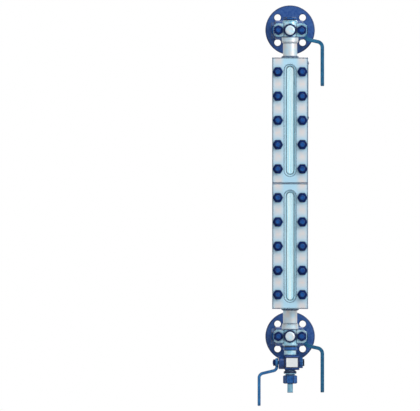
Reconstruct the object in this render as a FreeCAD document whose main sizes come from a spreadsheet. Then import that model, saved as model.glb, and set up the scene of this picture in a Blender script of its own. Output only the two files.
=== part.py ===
import FreeCAD, Part
import math
import os
import Sketcher

# A two-section reflex level gauge: a welded square body with two glasses behind bolted covers,
# hung between two flanged plug cocks, with a drain cock underneath.
#
# Frame: X to the right and Z up as seen from the front, Y from the glasses towards the tank.
# The origin is the centre of the lower tank flange's bolt circle, on the face around its raised face.

Vector = FreeCAD.Vector
document = FreeCAD.newDocument("tank_level_gauge")
size = document.addObject("Spreadsheet::Sheet", "size")

SIZES = [
    # Where the main axes lie
    ("cock_to_face", 50, "plug axis to the raised face of the tank flange"),
    ("cock_to_gauge", 65, "plug axis to the upright axis of the gauge"),
    ("drain_drop", 55.5, "lower cock axis to drain cock axis"),
    # Square gauge body
    ("body_to_cock", 58, "end of the square body to the nearest cock axis"),
    ("bar_web", 2, "square body wider than the glass, on each side"),
    ("bar_depth", 38, "depth of the square body, front to back"),
    ("bar_back_round", 8, "rounding of the body's rear edges under the U-bolts"),
    ("chamber_bore", 14, "upright bore through the body"),
    ("channel_width", 14, "width of the channel behind each glass"),
    # Covers and sight slots
    ("cover_side", 12, "U-bolt leg to the side of a cover"),
    ("cover_end", 8.5, "end of a glass to the end of its section"),
    ("cover_depth", 30, "front to back of a cover"),
    ("cover_gap", 0.3, "gap between the two covers"),
    ("cover_stand", 6, "body to cover"),
    ("cover_chamfer", 1.2, "chamfer round the front of a cover"),
    ("bar_chamfer", 0.8, "chamfer on the front edges of the square body"),
    ("slot_width", 17, "width of the sight slot"),
    ("glass_land", 10, "end of a glass past the end of its sight slot"),
    ("bevel_width", 4, "bevel round the sight slot, seen from the front"),
    ("bevel_depth", 6, "depth of that bevel"),
    # Glasses and gaskets
    ("glass_width", 34, "width of a reflex glass"),
    ("glass_length", 250, "length of a reflex glass"),
    ("glass_thick", 17, "thickness of a reflex glass"),
    ("glass_play", 0.5, "play round a glass in its recess"),
    ("gasket_thick", 1.5, "thickness of the gasket and of the cushion"),
    ("cushion_lip", 0.7, "cushion that shows inside the slot"),
    ("prism_pitch", 3, "spacing of the prisms on the wet side of a glass"),
    ("prism_count", 5, "prisms across a glass"),
    ("prism_land", 0.3, "flat crest between two prisms"),
    ("prism_short", 3, "prisms stop this far inside each slot end"),
    # U-bolts and their nuts
    ("bolt_diameter", 12, "U-bolt rod"),
    ("bolt_rows", 5, "U-bolts on each section"),
    ("row_margin", 30.5, "end of a section to its first U-bolt"),
    ("bolt_side_play", 1, "between a U-bolt leg and the side of the body"),
    ("bolt_hole_play", 0.5, "round a U-bolt leg in its cover hole"),
    ("bolt_tail", 5.6, "U-bolt end in front of its nut"),
    ("bolt_chamfer", 1.2, "chamfer on a U-bolt end"),
    ("nut_flats", 19, "across flats of a cover nut"),
    ("nut_thick", 10, "height of a cover nut"),
    ("thread_play", 0.1, "round a threaded end in its nut"),
    # Plate on the side of the upper cover
    ("plate_length", 125, "length of the plate"),
    ("plate_width", 18.2, "width of the plate"),
    ("plate_thick", 0.8, "thickness of the plate"),
    ("plate_drop", 7.5, "top of the cover to the top of the plate"),
    ("plate_corner", 2, "corner rounding of the plate"),
    ("pin_inset", 5, "end of the plate to its drive pin"),
    ("pin_shank", 2.4, "drive pin shank"),
    ("pin_head", 4.6, "drive pin head"),
    ("pin_rise", 1.1, "height of the domed head"),
    ("pin_depth", 5, "drive pin in the cover"),
    # Connecting tubes and collars
    ("tube_outer", 30, "outside of the connecting tube"),
    ("tube_bore", 16, "bore of the tubes, collars and heads"),
    ("weld_foot", 2.4, "weld round the tube where it meets the body"),
    ("collar_wall", 2.65, "wall of the collar round the tube"),
    ("collar_length", 13.1, "length of the collar"),
    ("collar_chamfer", 2.6, "chamfer on the tube side of the collar"),
    ("socket_depth", 5, "tube in its collar"),
    ("spigot_length", 5.8, "head spigot in the collar"),
    ("spigot_outer", 24, "outside of the head's spigots"),
    ("socket_play", 0.05, "round a part in its socket"),
    # Heads
    ("head_outer", 32, "upright barrel of a head"),
    ("head_near", 14.6, "cock axis to the collar end of a head"),
    ("head_far", 20.9, "cock axis to the plugged end of a head"),
    ("head_chamfer", 2, "chamfer on the plugged end"),
    ("ear_rim", 10, "stud to the tip of its ear"),
    ("ear_height", 28.8, "height of the ears"),
    ("ear_front", 9, "gauge axis to the front of the ears"),
    ("ear_back", 10.6, "gauge axis to the back of the ears"),
    ("ear_corner", 9, "rounding of the ears' corners"),
    ("ear_edge", 1, "rounding of the ears' edges"),
    ("front_boss", 26, "boss under the front plug"),
    ("front_thread", 18, "thread of the front plug"),
    ("far_thread", 20, "thread in the plugged end"),
    ("far_thread_depth", 12, "depth of that thread"),
    ("side_bore", 14, "bore from the head to the cock"),
    ("nut_gap", 3, "boss of the front plug to a head nut"),
    ("stud_diameter", 12, "stud of a head"),
    ("stud_hole_play", 0.5, "round a stud in its ear"),
    ("stud_tail", 2, "stud in front of its nut"),
    ("head_nut_flats", 18, "across flats of a head nut"),
    ("head_nut_thick", 8.2, "height of a head nut"),
    ("joint_ring_thick", 1.5, "joint ring between head and cock"),
    # Plugs of the heads
    ("seal_thick", 1, "flat seal under a plug"),
    ("seal_outer", 25, "outside of a flat seal"),
    ("top_plug_flats", 26, "across flats of the top plug"),
    ("top_plug_thick", 5.8, "height of the top plug's hexagon"),
    ("front_plug_flats", 24, "across flats of a front plug"),
    ("front_plug_thick", 9, "height of a front plug's hexagon"),
    ("front_plug_dome", 2, "rise of a front plug's face"),
    ("front_plug_face", 15, "flat face of a front plug"),
    ("plug_thread_long", 10, "threaded length of a plug"),
    ("thread_gap", 0.1, "round a thread in its hole"),
    ("thread_lead", 1, "chamfer at the start of a thread"),
    ("overlap", 0.5, "two features of one solid run into each other by this"),
    # Tank flanges
    ("flange_outer", 105, "outside of a tank flange"),
    ("flange_thick", 18, "tank flange with its raised face"),
    ("flange_edge", 1.5, "rounding of a flange's rim"),
    ("raised_outer", 58, "outside of the raised face"),
    ("raised_height", 2, "height of the raised face"),
    ("bolt_circle", 75, "bolt circle of a tank flange"),
    ("flange_holes", 4, "bolt holes of a tank flange"),
    ("flange_hole", 14, "bolt hole of a tank flange"),
    ("flange_bore", 20, "bore at the tank flange"),
    # Cock bodies
    ("oval_thick", 9, "oval flange on the gauge side"),
    ("oval_gap", 7.8, "ears of the head to the oval flange"),
    ("oval_height", 28, "height of the oval flange"),
    ("neck_waist", 26, "neck behind the oval flange"),
    ("waist_length", 5.8, "length of that waist"),
    ("neck_diameter", 28, "neck ring"),
    ("neck_length", 6.5, "length of the neck ring"),
    ("belly_diameter", 45.6, "forged swelling round the barrel, before its rounding"),
    ("belly_round", 30, "rounding of the swelling"),
    ("rear_neck", 26, "neck in front of the tank flange"),
    ("rear_neck_long", 10, "length of the neck in front of the tank flange"),
    ("flange_fillet", 2.8, "fillet between neck and tank flange"),
    ("neck_round", 4, "rounding where the swelling runs into its necks"),
    ("bore_taper", 4, "taper between the port and the flange bore"),
    ("barrel_outer", 41, "barrel round the plug"),
    ("barrel_left", 32, "plug axis middle to the capped end of the barrel"),
    ("barrel_right", 28, "plug axis middle to the lever end of the barrel"),
    ("barrel_round", 2.5, "rounding of the barrel's ends"),
    ("sleeve_outer", 29, "outside of the packing sleeve"),
    ("cap_depth", 7, "thread of the cap in the barrel"),
    ("gland_web", 6, "metal between the packing sleeve and the gland ring"),
    ("cap_thread", 30, "thread of the cap and outside of the gland ring"),
    ("cap_flats", 30, "across flats of the cap"),
    ("cap_thick", 8.4, "height of the cap's hexagon"),
    ("gland_thick", 3, "thickness of the gland ring"),
    # Plugs of the cocks
    ("plug_diameter", 20, "plug of a cock"),
    ("plug_play", 0.06, "running clearance of a plug in its sleeve"),
    ("plug_port", 12, "port through a plug"),
    ("plug_end_play", 0.5, "end clearance of a plug"),
    ("stem_diameter", 14, "stem of a plug"),
    ("stem_play", 0.2, "running clearance of a stem"),
    ("stem_end", 9, "stem in the lever"),
    ("stem_short", 0.3, "end of a stem inside its nut"),
    ("hub_gap", 0.5, "barrel to lever"),
    # Levers of the cocks
    ("lever_thick", 7.8, "thickness of a lever"),
    ("lever_width", 19.6, "width of a lever"),
    ("lever_neck", 13, "width of a lever next to its hub"),
    ("lever_shoulder", 16.4, "plug axis down to where a lever is full width"),
    ("lever_slope", 4, "height of the slope between neck and full width"),
    ("lever_edge", 1.4, "rounding of a lever's long edges"),
    ("lever_hub", 22, "hub of a lever"),
    ("lever_drop", 19, "plug axis down to the first bend"),
    ("lever_turn", 11, "radius of the first bend"),
    ("lever_fall", 26.8, "plug axis down to the second bend"),
    ("lever_bend", 12, "radius of the second bend"),
    ("lever_reach", 68.4, "gauge axis to the middle of the hanging arm"),
    ("lever_length", 119, "plug axis down to the tip of a lever"),
    ("groove_start", 39, "plug axis down to the pressed groove"),
    ("groove_end", 114.6, "plug axis down to the groove's lower end"),
    ("groove_width", 8.4, "width of the pressed groove"),
    ("groove_depth", 1.2, "depth of the pressed groove"),
    ("groove_core", 4.6, "width of its deeper middle"),
    ("groove_core_depth", 0.9, "further depth of the middle"),
    ("lever_nut_flats", 13, "across flats of a lever nut"),
    ("lever_nut_thick", 5.5, "height of a lever nut"),
    ("lever_nut_sink", 4.4, "lever nut in the hub"),
    ("nut_seat_play", 1, "counterbore of a lever wider than the corners of its nut"),
    # Drain adapter
    ("adapter_seal", 1.8, "seal under the drain adapter"),
    ("adapter_ring", 30.4, "ring of the drain adapter"),
    ("adapter_ring_thick", 6.5, "height of that ring"),
    ("adapter_neck", 25.2, "neck of the drain adapter"),
    ("adapter_spigot", 20, "lower thread of the drain adapter"),
    ("web_under_thread", 1, "metal between the drain's threads and its packing sleeve"),
    ("drain_bore", 8, "bore through the drain"),
    # Drain cock body
    ("block_depth", 32, "drain body, front to back"),
    ("block_height", 31.6, "drain body, top to bottom"),
    ("block_left", 11.4, "drain body, gauge axis to its left side"),
    ("block_right", 19.7, "drain body, gauge axis to its right side"),
    ("block_corner", 5, "rounding of the drain body's long edges"),
    ("block_edge", 1, "rounding of the drain body's right rim"),
    ("drain_barrel", 28, "barrel of the drain cock"),
    ("drain_barrel_left", 24.4, "gauge axis to the end of that barrel"),
    ("drain_barrel_round", 1.5, "rounding of that end"),
    ("spot_width", 23.9, "machined flat on the front of the drain body"),
    ("spot_height", 19, "height of the machined flat"),
    ("spot_depth", 0.6, "depth of the machined flat"),
    ("spot_corner", 1, "corner rounding of the machined flat"),
    ("drain_sleeve_outer", 18, "outside of the drain's packing sleeve"),
    ("drain_gland_web", 3.4, "metal between that sleeve and its gland ring"),
    ("drain_cap_depth", 6.7, "fluted cap in the drain body"),
    ("drain_plug_diameter", 12, "plug of the drain cock"),
    ("drain_stem", 8, "stem of the drain plug"),
    ("drain_stem_end", 7, "stem in the drain lever"),
    ("drain_gland_thick", 3, "gland ring of the drain cock"),
    ("drain_cap_outer", 23.8, "outside of the fluted cap"),
    ("drain_cap_thick", 7.3, "height of the fluted cap"),
    ("drain_cap_boss", 15.2, "boss on the fluted cap"),
    ("drain_cap_rise", 3.5, "height of that boss"),
    ("drain_cap_round", 1, "rounding of the cap and its boss"),
    ("flute_stop", 1, "plain rim behind the flutes"),
    ("flute_count", 12, "flutes round the cap"),
    ("flute_diameter", 2.4, "width of a flute"),
    # Drain lever
    ("drain_lever_thick", 6.5, "thickness of the drain lever"),
    ("drain_lever_width", 16, "width of the drain lever"),
    ("drain_lever_neck", 11, "width next to its hub"),
    ("drain_lever_shoulder", 12.5, "drain axis down to where it is full width"),
    ("drain_lever_hub", 19, "hub of the drain lever"),
    ("drain_lever_drop", 15.8, "drain axis down to the first bend"),
    ("drain_lever_turn", 9, "radius of the first bend"),
    ("drain_lever_fall", 24.6, "drain axis down to the second bend"),
    ("drain_lever_bend", 10, "radius of the second bend"),
    ("drain_lever_reach", 65.8, "gauge axis to the middle of the hanging arm"),
    ("drain_lever_length", 92, "drain axis down to the tip"),
    ("drain_groove_start", 36, "drain axis down to the pressed groove"),
    ("drain_groove_end", 87, "drain axis down to the groove's lower end"),
    ("drain_groove_width", 6.6, "width of the pressed groove"),
    ("drain_groove_core", 3.4, "width of its deeper middle"),
    ("drain_nut_flats", 12, "across flats of the drain lever's nut"),
    ("drain_nut_thick", 6.3, "height of that nut"),
    ("drain_nut_sink", 1.5, "that nut in the hub"),
    ("drain_stem_tail", 0.8, "end of the stem in front of its nut"),
    # Drain outlet
    ("nipple_spigot", 17, "upper thread of the outlet nipple"),
    ("nipple_waist", 22, "waist of the nipple under the body"),
    ("nipple_waist_long", 2, "length of that waist"),
    ("nipple_ring", 27.4, "ring of the nipple"),
    ("nipple_ring_thick", 6.5, "height of that ring"),
    ("nipple_neck", 20, "neck under the ring"),
    ("nipple_neck_long", 2.7, "length of that neck"),
    ("nipple_thread", 18, "thread under the union nut"),
    ("union_gap", 1.4, "nipple to the shoulder of the tail pipe"),
    ("ring_round", 2.2, "rounding of the rings of adapter and nipple"),
    ("union_flats", 26, "across flats of the union nut"),
    ("union_thick", 17.8, "height of the union nut"),
    ("union_lip", 3, "lip of the union nut round the pipe"),
    ("tail_outer", 12, "outside of the tail pipe"),
    ("tail_end", 63.9, "drain axis down to the end of the tail pipe"),
    ("tail_relief", 0.2, "depth of the relief where the tail pipe passes the union nut"),
    ("relief_below", 0.5, "union nut to the end of that relief"),
    ("shoulder_play", 0.2, "round the shoulder of the tail pipe in the union nut"),
    ("tail_shoulder_thick", 3.4, "height of that shoulder"),
]

for row, (alias, value, note) in enumerate(SIZES, start=1):
    size.set(f"A{row}", note)
    size.set(f"B{row}", str(value))
    size.setAlias(f"B{row}", alias)
document.recompute()

# Lengths that follow from the driving ones, written as the sheet's own words

PLUG_Y = "(size.raised_height - size.cock_to_face)"
GAUGE_Y = f"({PLUG_Y} - size.cock_to_gauge)"
DRAIN_Z = "(-size.drain_drop)"
SECTION = "(size.glass_length + 2 * size.cover_end)"
BODY_LENGTH = f"(2 * {SECTION})"
COCK_SPACING = f"({BODY_LENGTH} + 2 * size.body_to_cock)"
COCK_Z = {"upper": COCK_SPACING, "lower": "0"}
SECTION_Z = {
    "upper": f"({COCK_SPACING} / 2 + {SECTION} / 2)",
    "lower": f"({COCK_SPACING} / 2 - {SECTION} / 2)",
}
BAR_WIDTH = "(size.glass_width + 2 * size.bar_web)"
COVER_LENGTH = f"({SECTION} - size.cover_gap)"
SLOT_LENGTH = "(size.glass_length - 2 * size.glass_land)"
COVER_BACK = "(size.bar_depth / 2 + size.cover_stand)"
COVER_FRONT = "(size.bar_depth / 2 + size.cover_stand + size.cover_depth)"
GLASS_BACK = "(size.bar_depth / 2 + size.gasket_thick)"
GLASS_FRONT = "(size.bar_depth / 2 + size.gasket_thick + size.glass_thick)"
RECESS_DEPTH = "(size.glass_thick + 2 * size.gasket_thick - size.cover_stand)"
LEG_X = f"({BAR_WIDTH} / 2 + size.bolt_side_play + size.bolt_diameter / 2)"
COVER_HALF = f"({LEG_X} + size.cover_side)"
ROW_SPAN = f"({SECTION} - 2 * size.row_margin)"
FIRST_ROW = f"({ROW_SPAN} / 2)"
LEG_END = "(size.bar_depth / 2 + size.cover_stand + size.cover_depth + size.nut_thick + size.bolt_tail)"
SPIGOT_BACK = "(size.ear_back + size.oval_gap - size.joint_ring_thick)"
COLLAR_END = "(size.head_near + size.collar_length)"
OVAL_FRONT = "(size.cock_to_gauge - size.ear_back - size.oval_gap)"
STUD_X = "(size.front_boss / 2 + size.nut_gap + size.head_nut_flats / 2)"
EAR_REACH = f"({STUD_X} + size.ear_rim)"
FLANGE_FRONT = "(size.cock_to_face - size.flange_thick)"
REAR_NECK_START = f"({FLANGE_FRONT} - size.rear_neck_long)"
SLEEVE_LEFT = "(size.barrel_left - size.cap_depth)"
SLEEVE_RIGHT = "(size.barrel_right - size.gland_thick - size.gland_web)"
HUB_FACE = "(size.barrel_right + size.hub_gap)"
DRAIN_HUB_FACE = "(size.drain_barrel_left + size.hub_gap)"
DRAIN_SLEEVE_LEFT = "(size.drain_barrel_left - size.drain_gland_thick - size.drain_gland_web)"
DRAIN_SLEEVE_RIGHT = "(size.block_right - size.drain_cap_depth)"
BLOCK_TOP = "(size.block_height / 2)"
SPIGOT_LONG = "(size.block_height / 2 - size.drain_sleeve_outer / 2 - size.web_under_thread)"
RING_TOP = "(size.block_height / 2 + size.nipple_waist_long)"
RING_END = "(size.block_height / 2 + size.nipple_waist_long + size.nipple_ring_thick)"
UNION_TOP = f"({RING_END} + size.nipple_neck_long)"
UNION_END = f"({UNION_TOP} + size.union_thick)"


def number(text):
    return float(size.evalExpression(text))


def bind(thing, field, text):
    thing.setExpression(field, text)


# Bodies, sketches and features

TURNED_OVER = FreeCAD.Rotation(Vector(0, 1, 0), 180)
TURNED_ROUND = FreeCAD.Rotation(Vector(0, 0, 1), 180)
pieces = []


def new_body(label, y, z, x="0", rotation=None):
    body = document.addObject("PartDesign::Body", label)
    body.Label = label
    body.AllowCompound = True
    if rotation:
        body.Placement = FreeCAD.Placement(Vector(), rotation)
    for axis, text in zip("xyz", (x, y, z)):
        bind(body, f"Placement.Base.{axis}", text)
    pieces.append(body)
    return body


def origin(body, role):
    return next(item for item in body.Origin.OriginFeatures if item.Role == role)


def new_sketch(body, plane, lift):
    """An empty sketch, lifted off one of the body's own planes (XY up, XZ forward, YZ right)."""
    sketch = body.newObject("Sketcher::SketchObject", f"{body.Name}_sketch")
    sketch.AttachmentSupport = [(origin(body, f"{plane}_Plane"), "")]
    sketch.MapMode = "FlatFace"
    bind(sketch, "AttachmentOffset.Base.z", lift)
    return sketch


def constrain(sketch, text, *parts):
    index = sketch.addConstraint(Sketcher.Constraint(*parts, number(text)))
    bind(sketch, f"Constraints[{index}]", text)


def pin(sketch, item, vertex, x, y):
    constrain(sketch, x, "DistanceX", item, vertex)
    constrain(sketch, y, "DistanceY", item, vertex)


def join(sketch, *parts):
    sketch.addConstraint(Sketcher.Constraint(*parts))


def round_corner(sketch, before, after, corner, ends, middle):
    """A tangent arc between two lines, its corner point kept as construction."""
    start, stop = ends
    arc = sketch.addGeometry(Part.Arc(start, middle, stop))
    near = sketch.getPoint(arc, 1).distanceToPoint(start)
    far = sketch.getPoint(arc, 1).distanceToPoint(stop)
    first, last = (1, 2) if near < far else (2, 1)
    join(sketch, "Tangent", before, 2, arc, first)
    join(sketch, "Tangent", arc, last, after, 1)
    constrain(sketch, corner[2], "Radius", arc)
    point = sketch.addGeometry(Part.Point(Vector(number(corner[0]), number(corner[1]), 0)), True)
    pin(sketch, point, 1, corner[0], corner[1])
    join(sketch, "PointOnObject", point, 1, before)
    join(sketch, "PointOnObject", point, 1, after)


def outline(body, plane, corners, lift="0", closed=True):
    """Straight lines through corners given as (x, y), or as (x, y, radius) where one is rounded."""
    sketch = new_sketch(body, plane, lift)
    count = len(corners)
    points = [Vector(number(corner[0]), number(corner[1]), 0) for corner in corners]
    cuts = []
    for index, corner in enumerate(corners):
        point = points[index]
        if len(corner) == 2:
            cuts.append((point, point, point))
            continue
        towards = (points[index - 1] - point).normalize()
        onward = (points[(index + 1) % count] - point).normalize()
        half = towards.getAngle(onward) / 2
        radius = number(corner[2])
        reach = radius / math.tan(half)
        inward = (towards + onward).normalize()
        middle = point + inward * (radius / math.sin(half) - radius)
        cuts.append((point + towards * reach, middle, point + onward * reach))
    sides = count if closed else count - 1
    lines = [
        sketch.addGeometry(Part.LineSegment(cuts[index][2], cuts[(index + 1) % count][0]))
        for index in range(sides)
    ]
    for index, corner in enumerate(corners):
        if not closed and index == 0:
            pin(sketch, lines[0], 1, corner[0], corner[1])
            continue
        if not closed and index == count - 1:
            pin(sketch, lines[-1], 2, corner[0], corner[1])
            continue
        before = lines[index - 1]
        after = lines[index]
        if len(corner) == 2:
            join(sketch, "Coincident", before, 2, after, 1)
            pin(sketch, after, 1, corner[0], corner[1])
        else:
            start, middle, stop = cuts[index]
            round_corner(sketch, before, after, corner, (start, stop), middle)
    return sketch


def rings(body, plane, circles, lift="0"):
    """Circles given as (x, y, diameter)."""
    sketch = new_sketch(body, plane, lift)
    for x, y, diameter in circles:
        centre = Vector(number(x), number(y), 0)
        item = sketch.addGeometry(Part.Circle(centre, Vector(0, 0, 1), number(diameter) / 2))
        pin(sketch, item, 3, x, y)
        constrain(sketch, diameter, "Diameter", item)
    return sketch


def long_round(body, plane, width, length, x="0", y="0", lift="0"):
    """An upright slot shape: straight sides with a half circle at each end."""
    sketch = new_sketch(body, plane, lift)
    middle = Vector(number(x), number(y), 0)
    radius = number(width) / 2
    rise = Vector(0, (number(length) - number(width)) / 2, 0)
    side = Vector(radius, 0, 0)
    up = Vector(0, radius, 0)
    right = sketch.addGeometry(Part.LineSegment(middle + side - rise, middle + side + rise))
    top = sketch.addGeometry(
        Part.Arc(middle + rise + side, middle + rise + up, middle + rise - side)
    )
    left = sketch.addGeometry(Part.LineSegment(middle - side + rise, middle - side - rise))
    bottom = sketch.addGeometry(
        Part.Arc(middle - rise - side, middle - rise - up, middle - rise + side)
    )
    for before, after in ((right, top), (top, left), (left, bottom), (bottom, right)):
        join(sketch, "Tangent", before, 2, after, 1)
    pin(sketch, top, 3, x, f"{y} + ({length} - {width}) / 2")
    pin(sketch, bottom, 3, x, f"{y} - ({length} - {width}) / 2")
    constrain(sketch, f"{width} / 2", "Radius", top)
    return sketch


def step(body, kind, sketch):
    item = body.newObject(f"PartDesign::{kind}", f"{body.Name}_{kind}")
    item.Profile = sketch
    return item


def pad(body, sketch, length, backward=False):
    item = step(body, "Pad", sketch)
    bind(item, "Length", length)
    item.Reversed = backward
    return item


def cut(body, sketch, length, backward=False):
    item = step(body, "Pocket", sketch)
    bind(item, "Length", length)
    item.Reversed = backward
    return item


def turned_sketch(body, axis, profile):
    if axis == "X":
        return outline(body, "XY", profile)
    plane = "XY" if axis == "Y" else "XZ"
    return outline(body, plane, [(spot[1], spot[0], *spot[2:]) for spot in profile])


def turn(body, axis, profile, kind="Revolution"):
    """Turn a profile of (along, radius) or (along, radius, rounding) about one of the body's axes."""
    item = step(body, kind, turned_sketch(body, axis, profile))
    item.ReferenceAxis = (origin(body, f"{axis}_Axis"), [""])
    item.Angle = 360
    return item


def bore(body, axis, profile):
    return turn(body, axis, profile, kind="Groove")


def repeat(body, items, axis, span, count):
    item = body.newObject("PartDesign::LinearPattern", f"{body.Name}_row")
    item.Originals = items
    item.Direction = (origin(body, f"{axis}_Axis"), [""])
    bind(item, "Length", span)
    bind(item, "Occurrences", count)
    body.Tip = item
    return item


def repeat_twice(body, items, across, along):
    """A field of copies: across and along are (axis, span, count)."""
    item = repeat(body, items, *across)
    axis, span, count = along
    item.Direction2 = (origin(body, f"{axis}_Axis"), [""])
    bind(item, "Length2", span)
    bind(item, "Occurrences2", count)
    return item


def repeat_round(body, items, axis, count):
    item = body.newObject("PartDesign::PolarPattern", f"{body.Name}_ring")
    item.Originals = items
    item.Axis = (origin(body, f"{axis}_Axis"), [""])
    item.Angle = 360
    bind(item, "Occurrences", count)
    body.Tip = item
    return item


def hexagon(body, plane, flats, lift="0", corner_up=False):
    """A hexagon with a corner on the first axis of the plane, or on the second."""
    corner = f"{flats} / sqrt(3)"
    half = f"{flats} / sqrt(3) / 2"
    side = f"{flats} / 2"
    spots = [
        (corner, "0"),
        (half, side),
        (f"-{half}", side),
        (f"-{corner}", "0"),
        (f"-{half}", f"-{side}"),
        (half, f"-{side}"),
    ]
    if corner_up:
        spots = [(second, first) for first, second in spots]
    return outline(body, plane, spots, lift)


def crown(body, axis, flats, end, inward):
    """Thirty degree chamfer on a hexagon's corners at one end; inward is +1 or -1 along the axis."""
    start = f"{flats} * 0.475"
    rim = f"{flats} * 0.6"
    drop = f"{flats} * 0.125 * tan(30)"
    profile = [
        (end, start),
        (end, rim),
        (f"{end} + {inward} * {drop}", rim),
    ]
    return bore(body, axis, profile)


def lies_in(edge, planes):
    """Whether an edge lies in every one of the planes, given as (axis, level)."""
    box = edge.BoundBox
    return all(
        abs(getattr(box, f"{axis}Min") - number(level)) < 0.01
        and abs(getattr(box, f"{axis}Max") - number(level)) < 0.01
        for axis, level in planes
    )


def ease(body, kind, length, places):
    """Chamfer or Fillet the edges that lie in one of the places, each a plane or two planes that meet."""
    base = body.Tip
    document.recompute()
    names = [
        f"Edge{index}"
        for index, edge in enumerate(base.Shape.Edges, start=1)
        if any(lies_in(edge, planes) for planes in places)
    ]
    item = body.newObject(f"PartDesign::{kind}", f"{body.Name}_{kind}")
    item.Base = (base, names)
    bind(item, "Size" if kind == "Chamfer" else "Radius", length)
    return item


def face_sides(axis, level, half_across, half_up):
    """The four straight sides of a front or back face that is square to Y."""
    return [
        [(axis, level), (other, f"{sign}{half}")]
        for other, half in (("X", half_across), ("Z", half_up))
        for sign in ("", "-")
    ]


# Square body, covers and glasses


def make_gauge_body():
    body = new_body("gauge_body", GAUGE_Y, f"{COCK_SPACING} / 2")
    half = f"{BAR_WIDTH} / 2"
    front = "-size.bar_depth / 2"
    back = "size.bar_depth / 2"
    corner = "size.bar_back_round"
    spots = [
        (f"-{half}", front),
        (half, front),
        (half, back, corner),
        (f"-{half}", back, corner),
    ]
    pad(body, outline(body, "XY", spots, f"-{SECTION}"), BODY_LENGTH)
    hole = rings(body, "XY", [("0", "0", "size.chamber_bore")], SECTION)
    cut(body, hole, BODY_LENGTH)
    for middle in (f"{SECTION} / 2", f"-{SECTION} / 2"):
        channel = long_round(
            body,
            "XZ",
            "size.channel_width",
            SLOT_LENGTH,
            y=middle,
            lift="size.bar_depth / 2",
        )
        cut(body, channel, "size.bar_depth / 2")
    sides = [[("Y", front), ("X", half)], [("Y", front), ("X", f"-{half}")]]
    ease(body, "Chamfer", "size.bar_chamfer", sides)


def make_cover(place):
    body = new_body(f"{place}_cover", GAUGE_Y, SECTION_Z[place])
    half = COVER_HALF
    end = f"{COVER_LENGTH} / 2"
    spots = [(f"-{half}", f"-{end}"), (half, f"-{end}"), (half, end), (f"-{half}", end)]
    pad(body, outline(body, "XZ", spots, COVER_BACK), "size.cover_depth")
    recess = long_round(
        body,
        "XZ",
        "(size.glass_width + 2 * size.glass_play)",
        "(size.glass_length + 2 * size.glass_play)",
        lift=COVER_BACK,
    )
    cut(body, recess, RECESS_DEPTH, backward=True)
    slot = long_round(body, "XZ", "size.slot_width", SLOT_LENGTH, lift=COVER_FRONT)
    cut(body, slot, "size.cover_depth")
    mouth = long_round(
        body,
        "XZ",
        "(size.slot_width + 2 * size.bevel_width)",
        f"({SLOT_LENGTH} + 2 * size.bevel_width)",
        lift=COVER_FRONT,
    )
    throat = long_round(
        body,
        "XZ",
        "size.slot_width",
        SLOT_LENGTH,
        lift=f"{COVER_FRONT} - size.bevel_depth",
    )
    bevel = step(body, "SubtractiveLoft", mouth)
    bevel.Sections = [throat]
    first = [(f"-{LEG_X}", f"-{FIRST_ROW}", "(size.bolt_diameter + 2 * size.bolt_hole_play)")]
    hole = cut(body, rings(body, "XZ", first, COVER_FRONT), "size.cover_depth")
    across = ("X", f"2 * {LEG_X}", "2")
    repeat_twice(body, [hole], across, ("Z", ROW_SPAN, "size.bolt_rows"))
    if place == "upper":
        top = f"({COVER_LENGTH} / 2 - size.plate_drop - size.pin_inset)"
        bottom = f"({top} - size.plate_length + 2 * size.pin_inset)"
        middle = f"-{COVER_BACK} - size.cover_depth / 2"
        pair = [(middle, spot, "size.pin_shank") for spot in (top, bottom)]
        cut(body, rings(body, "YZ", pair, half), "size.pin_depth + size.thread_play")
    sides = face_sides("Y", f"-{COVER_FRONT}", half, f"({end})")
    ease(body, "Chamfer", "size.cover_chamfer", sides)


def make_glass(place):
    body = new_body(f"{place}_glass", GAUGE_Y, SECTION_Z[place])
    plan = long_round(body, "XZ", "size.glass_width", "size.glass_length", lift=GLASS_BACK)
    pad(body, plan, "size.glass_thick")
    first = "(-(size.prism_count - 1) / 2 * size.prism_pitch)"
    half = "(size.prism_pitch - size.prism_land) / 2"
    length = f"({SLOT_LENGTH} - 2 * size.prism_short)"
    spots = [
        (f"{first} - {half}", f"-{GLASS_BACK}"),
        (f"{first}", f"-{GLASS_BACK} - {half}"),
        (f"{first} + {half}", f"-{GLASS_BACK}"),
    ]
    prism = cut(body, outline(body, "XY", spots, f"{length} / 2"), length)
    span = "(size.prism_count - 1) * size.prism_pitch"
    repeat(body, [prism], "X", span, "size.prism_count")


def make_gasket(label, place, back, lip="0"):
    body = new_body(label, GAUGE_Y, SECTION_Z[place])
    plan = long_round(body, "XZ", "size.glass_width", "size.glass_length", lift=back)
    pad(body, plan, "size.gasket_thick")
    front = f"{back} + size.gasket_thick"
    width = f"(size.slot_width - 2 * {lip})"
    length = f"({SLOT_LENGTH} - 2 * {lip})"
    window = long_round(body, "XZ", width, length, lift=front)
    cut(body, window, "size.gasket_thick")


def make_u_bolts(place):
    body = new_body(f"{place}_u_bolts", GAUGE_Y, SECTION_Z[place])
    rod = "size.bolt_diameter"
    bend = f"(size.bar_back_round + {rod} / 2)"
    back = f"(size.bar_depth / 2 + {rod} / 2)"
    spots = [
        (f"-{LEG_X}", f"-{LEG_END}"),
        (f"-{LEG_X}", back, bend),
        (LEG_X, back, bend),
        (LEG_X, f"-{LEG_END}"),
    ]
    spine = outline(body, "XY", spots, f"-{FIRST_ROW}", closed=False)
    tip = rings(body, "XZ", [(f"-{LEG_X}", f"-{FIRST_ROW}", rod)], LEG_END)
    rod_bend = step(body, "AdditivePipe", tip)
    rod_bend.Spine = (spine, ["Edge1", "Edge2", "Edge3", "Edge4", "Edge5"])
    repeat(body, [rod_bend], "Z", ROW_SPAN, "size.bolt_rows")
    ease(body, "Chamfer", "size.bolt_chamfer", [[("Y", f"-{LEG_END}")]])


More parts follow.
